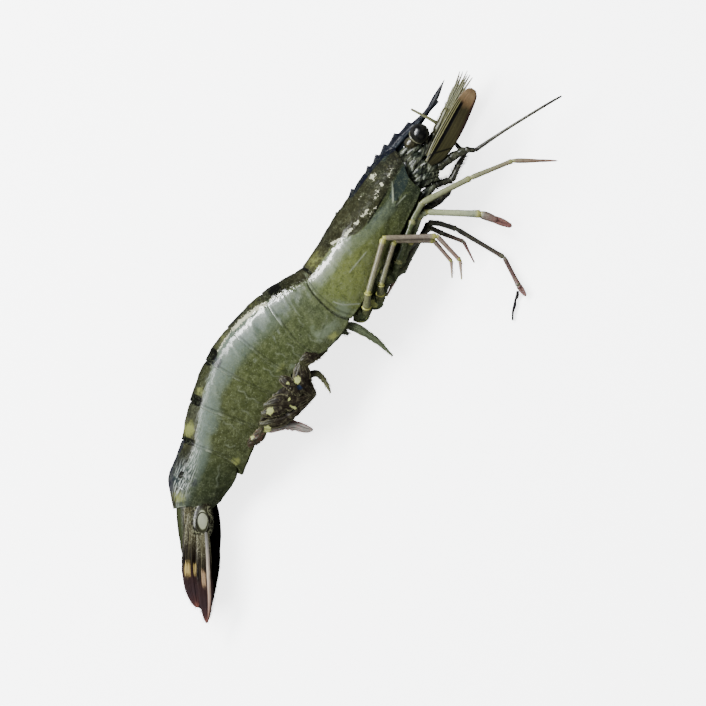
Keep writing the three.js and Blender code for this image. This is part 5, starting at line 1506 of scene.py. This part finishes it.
def antennule_skins(name, seed):
    """The small feeler: a striped flat foot of two joints, two short whips split into strands at
    its end, a fringe of hairs, and the long whip that bends away."""
    shape = ANTENNULES[name]
    stations = np.array(walk(shape["root"], shape["foot"]))
    skins = []
    for k in range(2):
        start, end = stations[k:k + 2]
        # share of the way along the joint, half width, half thickness
        rows = [(0, start[3] * 0.8, start[3] * 0.7), (0.15, start[3] * 1.05, start[3] * 0.85),
                (0.5, (start[3] + end[3]) / 2, start[3] * 0.75),
                (0.94, end[3] * 1.08, end[3] * 0.8),
                (1, end[3] * 0.7, end[3] * 0.5)]
        path = [[*(start + share * (end - start))[:3], *sizes] for share, *sizes in rows]
        skins.append(tube(path, 30, 24, {"length": (k + np.linspace(0, 1, 30)[:, None]) * 0.3}))
    x, y, z, _ = stations[2]
    random = np.random.default_rng(seed)
    for spread in np.linspace(-1, 1, 6):
        drift = random.normal(0, 0.35)
        strand = walk([x - 2.5, y + 1.1 * spread, z + 0.3 * drift, 0.5, 0.45], [
            (6, -3 + 1.5 * spread, 0.2, 0.4, 0.36),
            (5.4 + random.uniform(-0.6, 0.6), -4 + 5 * spread + 3 * drift, 0.2, 0.32, 0.3),
            (3.6 + random.uniform(-1.4, 0.4), -2 + 8 * spread + 4 * drift, 0.1, 0.12, 0.1)])
        skins.append(tube(strand, 40, 8, {"length": np.linspace(0.6, 1, 40)[:, None]}))
    flat = [[*station, 0.5] for station in stations]
    for edge, count in ((1, 90), (-1, 40)):
        skins.append(fringe(flat, (0.1, 0.97), edge, count, 1.3, 1.6, 0.05, seed + edge + 7))
    whip = [[*station, station[3]] for station in walk(*shape["whip"])]
    skins.append(tube(whip, 60, 10, {"length": np.linspace(0.75, 0.95, 60)[:, None]}))
    return skins


def feeler_material():
    """Olive-brown with yellowish stripes along it and dark lines between."""
    finish = Finish("feeler", Coat_Weight=0.2, Coat_Roughness=0.2, IOR=1.45, Specular_IOR_Level=0.1)
    length, across = map(finish.attribute, ("length", "across"))
    finish.colour = finish.ramp(length, [
        (0, 68, 68, 50), (0.3, 108, 108, 76), (0.6, 140, 140, 96), (0.8, 144, 146, 106),
        (1, 150, 148, 118)])
    streak = finish.streaks(length, across, 5.0)
    stripes = finish.math("SINE", across * 11.0 + streak * 2.0).between(-0.4, 0.5)
    finish.paint(stripes * 0.85, (24, 22, 15))
    finish.paint(streak.between(0.75, 0.95) * 0.5, (196, 194, 146))
    finish.paint(abs(across).between(0.75, 0.98) * 0.6, (34, 32, 24))
    return finish.wet(wave=0.25, pits=0.15, roughness=0.36)


def antenna_material():
    """Stout joints of mottled grey-olive, and a whip from black to brown and back."""
    finish = Finish("antenna", Coat_Weight=0.4, Coat_Roughness=0.14, IOR=1.45,
                    Specular_IOR_Level=0.1)
    finish.colour = finish.ramp(finish.attribute("length"), [
        (0, 58, 60, 48), (0.2, 68, 70, 56), (0.28, 52, 52, 44), (0.34, 44, 42, 36),
        (0.6, 96, 92, 74), (0.8, 84, 80, 64), (0.92, 48, 44, 38), (1, 40, 36, 32)])
    finish.mottle((26, 26, 20), (150, 152, 130), scale=700.0, amount=0.6)
    return finish.wet(wave=0.4, pits=0.3, roughness=0.3)


def mouth_material():
    """Thin plates: grey-olive patches and pale streaks of painted highlight, both broken by
    near-black streaks of painted shade, as in gaps between the plates. The streaks slant down
    and forward."""
    finish = Finish("mouthparts", Coat_Weight=0.3, Coat_Roughness=0.12, IOR=1.45,
                    Specular_IOR_Level=0.05)
    slanted = finish.add("ShaderNodeMapping", {
        "Vector": finish.position(), "Rotation": (0, 0, np.radians(-32)),
        "Scale": (220, 1000, 700)})
    streak = finish.clouds(1.0, 5.0, 0.65, 1.2, slanted)
    leaf = finish.mix(finish.noise(3.2).between(0.4, 0.6), (48, 56, 46), (104, 108, 88))
    # near-black painted shade, as in gaps between the plates, where the slanted streaks are low
    finish.colour = finish.mix(streak.between(0.4, 0.56), (10, 12, 10), leaf)
    # pale painted highlight where the slanted streaks are high
    finish.paint(streak.between(0.57, 0.66) * 0.8, (176, 182, 166))
    return finish.wet(wave=0.3, pits=0.15, roughness=0.4)


HEAD_CORE = [[30, -6.4, 10.5, 3, 4], [33.9, -6.8, 10.5, 4.4, 5.4], [36.4, -7.6, 10.5, 5.4, 6],
             [38, -9.2, 10.5, 5.9, 5.9], [40, -10.3, 10.5, 5.7, 5.6], [43.5, -11, 10.5, 4.4, 4.6],
             [46.4, -11.5, 10.5, 2.2, 2.8]]
HEAD_LUMPS = [
    # first joint of the feeler, plate under it, jaw foot, small feeler's first joint, and two
    # lumps that make the eye's socket: [x, y, z from the middle, half width, half thickness]
    [[36, -10.5, 3.2, 1.6, 1.4], [38.8, -12.6, 3.6, 2.7, 2.2], [41.6, -15, 3.8, 2.6, 2.2],
     [43.6, -17, 3.8, 1.4, 1.4]],
    [[32.6, -11.5, 3.4, 1.2, 1.0], [35, -13.8, 4, 2.1, 1.5], [38.4, -16.2, 4, 1.9, 1.3],
     [41, -17.9, 3.8, 0.7, 0.6]],
    [[28.5, -15, 3, 1.2, 1.2], [31.5, -16.6, 3.2, 1.6, 1.3], [35, -18.2, 3, 1.1, 1.0],
     [37.4, -19, 2.8, 0.4, 0.4]],
    [[38.4, -7.4, 2, 1.3, 1.2], [42, -9.2, 2.6, 2.0, 1.6], [46, -11.2, 2.7, 1.8, 1.5],
     [49, -12.2, 2.7, 1.2, 1.0]],
    [[40, -5.6, 2.2, 0.9, 0.9], [42.2, -6.6, 3.2, 1.3, 1.2], [45, -8.4, 3.6, 1.0, 1.0],
     [46.6, -9.8, 3.4, 0.4, 0.4]],
    [[37.6, -3.8, 2.2, 0.9, 0.9], [40.4, -4.6, 2.8, 1.5, 1.3], [43.2, -5.8, 3.0, 1.6, 1.3],
     [45.8, -7.4, 3.0, 0.9, 0.9]],
]
PALPS = 18  # leaves over the mouth, on each side


def head_skins():
    """The front of the head: a core and, on each side, its lumps and the leaves of the
    mouthparts."""
    parts = [tube(HEAD_CORE, 60, 48)]
    for side in (1, -1):
        for lump in HEAD_LUMPS:
            placed = [[x, y, HEAD_MIDDLE + side * z, *size] for x, y, z, *size in lump]
            parts.append(tube(placed, 30, 24))
        random = np.random.default_rng(12)
        for palp in range(PALPS):
            share = (palp + random.uniform(0, 1)) / PALPS
            x, y = 33.5 + 4.5 * share + random.uniform(-1, 1), -14.5 + 8 * share
            z = 4.2 + 1.2 * np.sin(np.pi * share) + random.uniform(-0.5, 0.6)
            turn = random.uniform(-30, 18) - 28
            size = random.uniform(0.5, 1.3)
            path = walk([x, y, HEAD_MIDDLE + side * z, size * 0.5, 0.3], [
                (2.4, turn + 14, side * 0.3, size, 0.36),
                (2.8, turn, -side * 0.2, size * 0.8, 0.3),
                (random.uniform(1.2, 2.8), turn - 16, -side * 0.5, size * 0.15, 0.15)])
            parts.append(blade(path, random.uniform(-25, 25), 36, 24, edge_power=0.4, wave=0.06))
    return parts


# The bar between the legs: where it starts and ends along the spine, its half height as a share
# of the belly's depth, its half width, and the pairs of legs that it swells at.
STERNUM = (5, 46.5, 0.26, 5.2, 6)


def breastplate_skins():
    """The belly under the carapace: an oval bar that swells at each pair of legs, and a round
    foot for each leg."""
    front, rear, half_height, half_width, pairs = STERNUM
    length = np.linspace(0, 1, 96)[:, None]
    along = front + (rear - front) * length
    swell = 0.8 - 0.2 * np.cos(2 * np.pi * length * pairs)
    angle = around(32)
    high = curve(BELLY_DEPTH, along) * (half_height * swell * np.cos(angle) - 1)
    points = place(np.broadcast_to(along, high.shape), high, half_width * np.sin(angle))
    skins = [closed_skin(points, {"length": length, "across": np.cos(angle)[None]})]
    for name, ((x, y, z, radius), _) in LEGS.items():
        side = 1 if name.endswith("right") else -1
        foot = [[x - 1.2, y + 3.6, HEAD_MIDDLE + side * 2.2, radius * 1.5, radius],
                [x - 0.4, y + 1.2, z, radius * 1.75, radius * 1.1],
                [x + 0.9, y - 0.5, z + side * 0.2, radius * 1.2, radius * 0.9]]
        skins.append(tube(foot, 24, 24))
    return skins


# ---- Making everything -----------------------------------------------------------------------


SIDES = {"right": 1, "left": -1}


def build_body():
    shell = shell_material()
    make_piece("carapace_shell", [carapace_skin()], shell, ["carapace"])
    make_piece("rostrum_blade", [rostrum_skin()], rostrum_material(), [])
    for number in range(1, 7):
        name = f"pleonite_{number}"
        make_piece(f"{name}_shell", [pleonite_skin(number)], shell, [name])
    make_piece("head_front", head_skins(), mouth_material(), ["head"])
    sternum = plain_material("sternum", (52, 60, 40), (122, 132, 92), coat=0.2, size=2.0,
                             spot=(204, 210, 126))
    make_piece("sternum_feet", breastplate_skins(), sternum, ["breastplate"])


def build_eyes():
    ball = eyeball_material()
    stalk = eyestalk_material()
    for name, side in SIDES.items():
        make_piece(f"eyeball_{name}", [eyeball_skin(side)], ball, [f"eye_{name}"])
        make_piece(f"eyestalk_{name}", [eyestalk_skin(side)], stalk, [])


def build_legs():
    finishes = {name: leg_material(name) for name in LEG_COLOURS}
    for k, name in enumerate(LEGS):
        slot, bristles = ("dark_shell", (160, 1.6)) if "maxilliped" in name else ("leg", (46, 0.9))
        make_piece(f"{name}_limb", [*leg_skins(name), leg_hairs(name, *bristles, k)],
                   finishes[LEG_FINISH[name]], [name])


def build_feelers():
    antenna = antenna_material()
    feeler = feeler_material()
    scale = scale_material()
    for k, name in enumerate(SIDES):
        node = f"antenna_{name}"
        make_piece(f"{node}_whip", antenna_skins(node), antenna, [node])
        node = f"antennule_{name}"
        make_piece(f"{node}_whips", antennule_skins(node, 40 + k), feeler, [node])
        node = f"antennal_scale_{name}"
        stations, tilt = BLADES[node]
        plate = blade(stations, tilt, 90, 64, edge_power=0.35, wave=0.02,
                      ribs=[(0.5, 0.12, 0.06), (0.2, 0.12, 0.06)])
        hair = fringe(stations, (0.45, 0.99), 1, 110, 1.2, 1.4, 0.04, 60 + k, tilt)
        make_piece(f"{node}_plate", [plate, hair], scale, [node])


OVAL = {"middle": (-97.9, 7.0, 11.3), "half_length": 3.4, "half_width": 2.1,
        "cosine": 0.9, "sine": 0.43}


def oval_rim():
    """The raised rim of the oval window at the foot of the tail blades: a thin tube round an
    ellipse that is turned to lie along them, with a slight rise at both ends."""
    turn = np.linspace(0, 2 * np.pi, 13)
    long, wide = OVAL["half_length"] * np.cos(turn), OVAL["half_width"] * np.sin(turn)
    x, y, z = OVAL["middle"]
    size = np.full(len(turn), 0.2)
    cosine, sine = OVAL["cosine"], OVAL["sine"]
    rim = [x - cosine * long + sine * wide, y - sine * long - cosine * wide,
           z - 0.3 * np.cos(2 * turn), size, size]
    return tube(np.stack(rim, -1), 80, 12, {"length": 0.3, "across": 0.05})


def build_fan():
    gold = (220, 192, 118)
    endopod = fan_material("tail_endopod", [(0.59, -0.46, 0.06, 0.3, gold),
                                            (0.58, 0.38, 0.055, 0.26, gold)])
    exopod = fan_material("tail_exopod", [(0.55, -0.1, 0.07, 0.26, (204, 170, 132))],
                          rib=(0.54, 0.28))
    telson = fan_material("tail_telson", [(0.3, -0.8, 0.4, 0.35, (66, 72, 46))],
                          root=(84, 86, 60))
    # The left tail blades and their foot are painted near-black: painted shade, as they lie in
    # shadow under the right ones.
    black = plain_material("far_fan_painted_shade", (4, 3, 3), (10, 8, 8), coat=0.06)
    looks = {
        "telson": (telson, [(0.25, 0.2, 0.12), (-0.25, 0.2, 0.12)]),
        "uropod_base_right": (oval_material(), []),
        "uropod_base_left": (black, []),
        "uropod_endopod_right": (endopod, [(0, 0.25, 0.07), (0.4, 0.08, 0.06), (-0.4, 0.08, 0.06)]),
        "uropod_exopod_right": (exopod, [(0.54, 0.32, 0.19), (-0.1, 0.1, 0.08)]),
        "uropod_endopod_left": (black, [(0, 0.2, 0.08)]),
        "uropod_exopod_left": (black, [(0.5, 0.3, 0.14)]),
    }
    for k, (name, (material, ribs)) in enumerate(looks.items()):
        stations, tilt = BLADES[name]
        skins = [blade(stations, tilt, 110, 64, edge_power=0.4, wave=0.02, ribs=ribs,
                       ragged=0.015)]
        if "base" not in name:
            skins.append(fringe(stations, (0.5, 0.99), 1, 90, 0.9, 1.8, 0.04, seed=80 + k))
            skins.append(fringe(stations, (0.75, 0.99), -1, 40, 0.9, 1.8, 0.04, seed=90 + k))
        if name == "uropod_base_right":
            skins.append(oval_rim())
        make_piece(f"{name}_plate", skins, material, [name])


PLEOPOD_FINISHES = {
    # middle, edge, foot, tip, light
    "swimming_leg_olive": ((84, 94, 68), (140, 148, 108), (76, 80, 54), (84, 92, 92),
                           (112, 122, 96)),
    "swimming_leg_dark": ((46, 40, 32), (160, 156, 124), (74, 76, 50), (52, 50, 38),
                          (132, 136, 98)),
    "swimming_leg_pink": ((72, 68, 52), (196, 116, 120), (76, 78, 52), (92, 62, 66),
                          (196, 192, 184)),
}


def build_swimming_legs():
    olive, dark, pink = (pleopod_material(name, *colours)
                         for name, colours in PLEOPOD_FINISHES.items())
    for number, finish in enumerate((olive, dark, dark, dark, pink), 1):
        for name, side in SIDES.items():
            node = f"pleopod_{number}_{name}"
            make_piece(f"{node}_blades", pleopod_skins(number, side), finish, [node])


def build_strand():
    stations = [[15.4, -58.5, 1.0, 0.5, 0.5], [13.6, -59, 0.7, 0.6, 0.5],
                [12.2, -59.0, 0.6, 0.4, 0.4], [10.5, -59.5, 0.6, 0.55, 0.5],
                [8.4, -59.8, 0.55, 0.4, 0.4], [5.6, -60.9, 0.5, 0.3, 0.3]]
    black = plain_material("strand_black", (6, 5, 5), (22, 20, 18), coat=0.1)
    make_piece("strand_thread", [tube(stations, 60, 12)], black, ["strand"])


# ---- Floor, light and camera -----------------------------------------------------------------

VIEW_TURN = -66.25  # degrees about Z, so that the head points up and to the right
VIEW_CENTRE = (-26.0, -16.2, 10.5)
VIEW_WIDTH = 235.3
LENS, SENSOR = 180.0, 36.0


def build_floor():
    """A plain pale table. It is dimmer to everything but the camera, so that it doesn't whiten the
    prawn's wet sides."""
    mesh = bpy.data.meshes.new("floor")
    half, top = 3.0, -0.0002
    mesh.from_pydata([(-half, -half, top), (half, -half, top), (half, half, top),
                      (-half, half, top)], [], [(0, 1, 2, 3)])
    finish = Finish("floor", Roughness=0.9, Specular_IOR_Level=0.1)
    seen = finish.add("ShaderNodeLightPath", output="Is Camera Ray")
    paint = finish.mix(seen, rgb(60, 60, 60, 1), rgb(248, 248, 248, 1))
    mesh.materials.append(finish.set(Base_Color=paint, Emission_Color=(1, 1, 1, 1),
                                     Emission_Strength=seen * 3.0))
    floor = bpy.data.objects.new("floor", mesh)
    bpy.context.scene.collection.objects.link(floor)


LIGHTS = {
    # azimuth from +X and angle from straight up in degrees, distance, size, power, colour; and
    # whether the wet skin reflects it
    "key": (90, 50, 1.3, (1.6, 0.28), 90, (1, 1, 1), True),
    "glow": (90, 39, 1.3, (1.6, 0.22), 9, (0.92, 0.97, 1.0), True),
    "upper_glow": (90, 30, 1.3, (1.6, 0.22), 4.2, (0.88, 0.95, 1.0), True),
    "sky": (90, 20, 1.4, (1.5, 0.3), 3.2, (0.84, 0.93, 1.0), True),
    "fill": (-100, 60, 1.5, (2.4, 1.6), 33, (1, 1, 1), False),
}


def add_light(name, azimuth, lean, distance, size, power, colour, shines):
    """An area light in metres and watts that faces the prawn's middle."""
    azimuth, lean = np.radians([azimuth, lean])
    light = bpy.data.lights.new(name, "AREA")
    light.shape = "RECTANGLE"
    light.size, light.size_y = size
    light.energy = power
    light.color = colour
    lamp = bpy.data.objects.new(name, light)
    way = Vector((np.sin(lean) * np.cos(azimuth), np.sin(lean) * np.sin(azimuth), np.cos(lean)))
    lamp.location = Vector(VIEW_CENTRE) * MM + way * distance
    lamp.rotation_euler = way.to_track_quat("Z", "Y").to_euler()
    lamp.visible_glossy = shines
    bpy.context.scene.collection.objects.link(lamp)


def build_stage():
    build_floor()
    for name, setting in LIGHTS.items():
        add_light(name, *setting)
    world = bpy.data.worlds.new("studio")
    world.use_nodes = True
    colour, strength = world.node_tree.nodes["Background"].inputs[:2]
    colour.default_value = (0.9, 0.95, 1.0, 1)
    strength.default_value = 0.05
    bpy.context.scene.world = world


def build_camera():
    data = bpy.data.cameras.new("camera")
    data.lens = LENS
    data.sensor_width = SENSOR
    data.clip_end = 20
    camera = bpy.data.objects.new("camera", data)
    above = Vector((0, 0, VIEW_WIDTH * LENS / SENSOR))
    camera.location = (Vector(VIEW_CENTRE) + above) * MM
    camera.rotation_euler = (0, 0, np.radians(VIEW_TURN))
    bpy.context.scene.collection.objects.link(camera)
    bpy.context.scene.camera = camera


build_camera()
build_body()
build_eyes()
build_legs()
build_feelers()
build_fan()
build_swimming_legs()
build_strand()
build_stage()
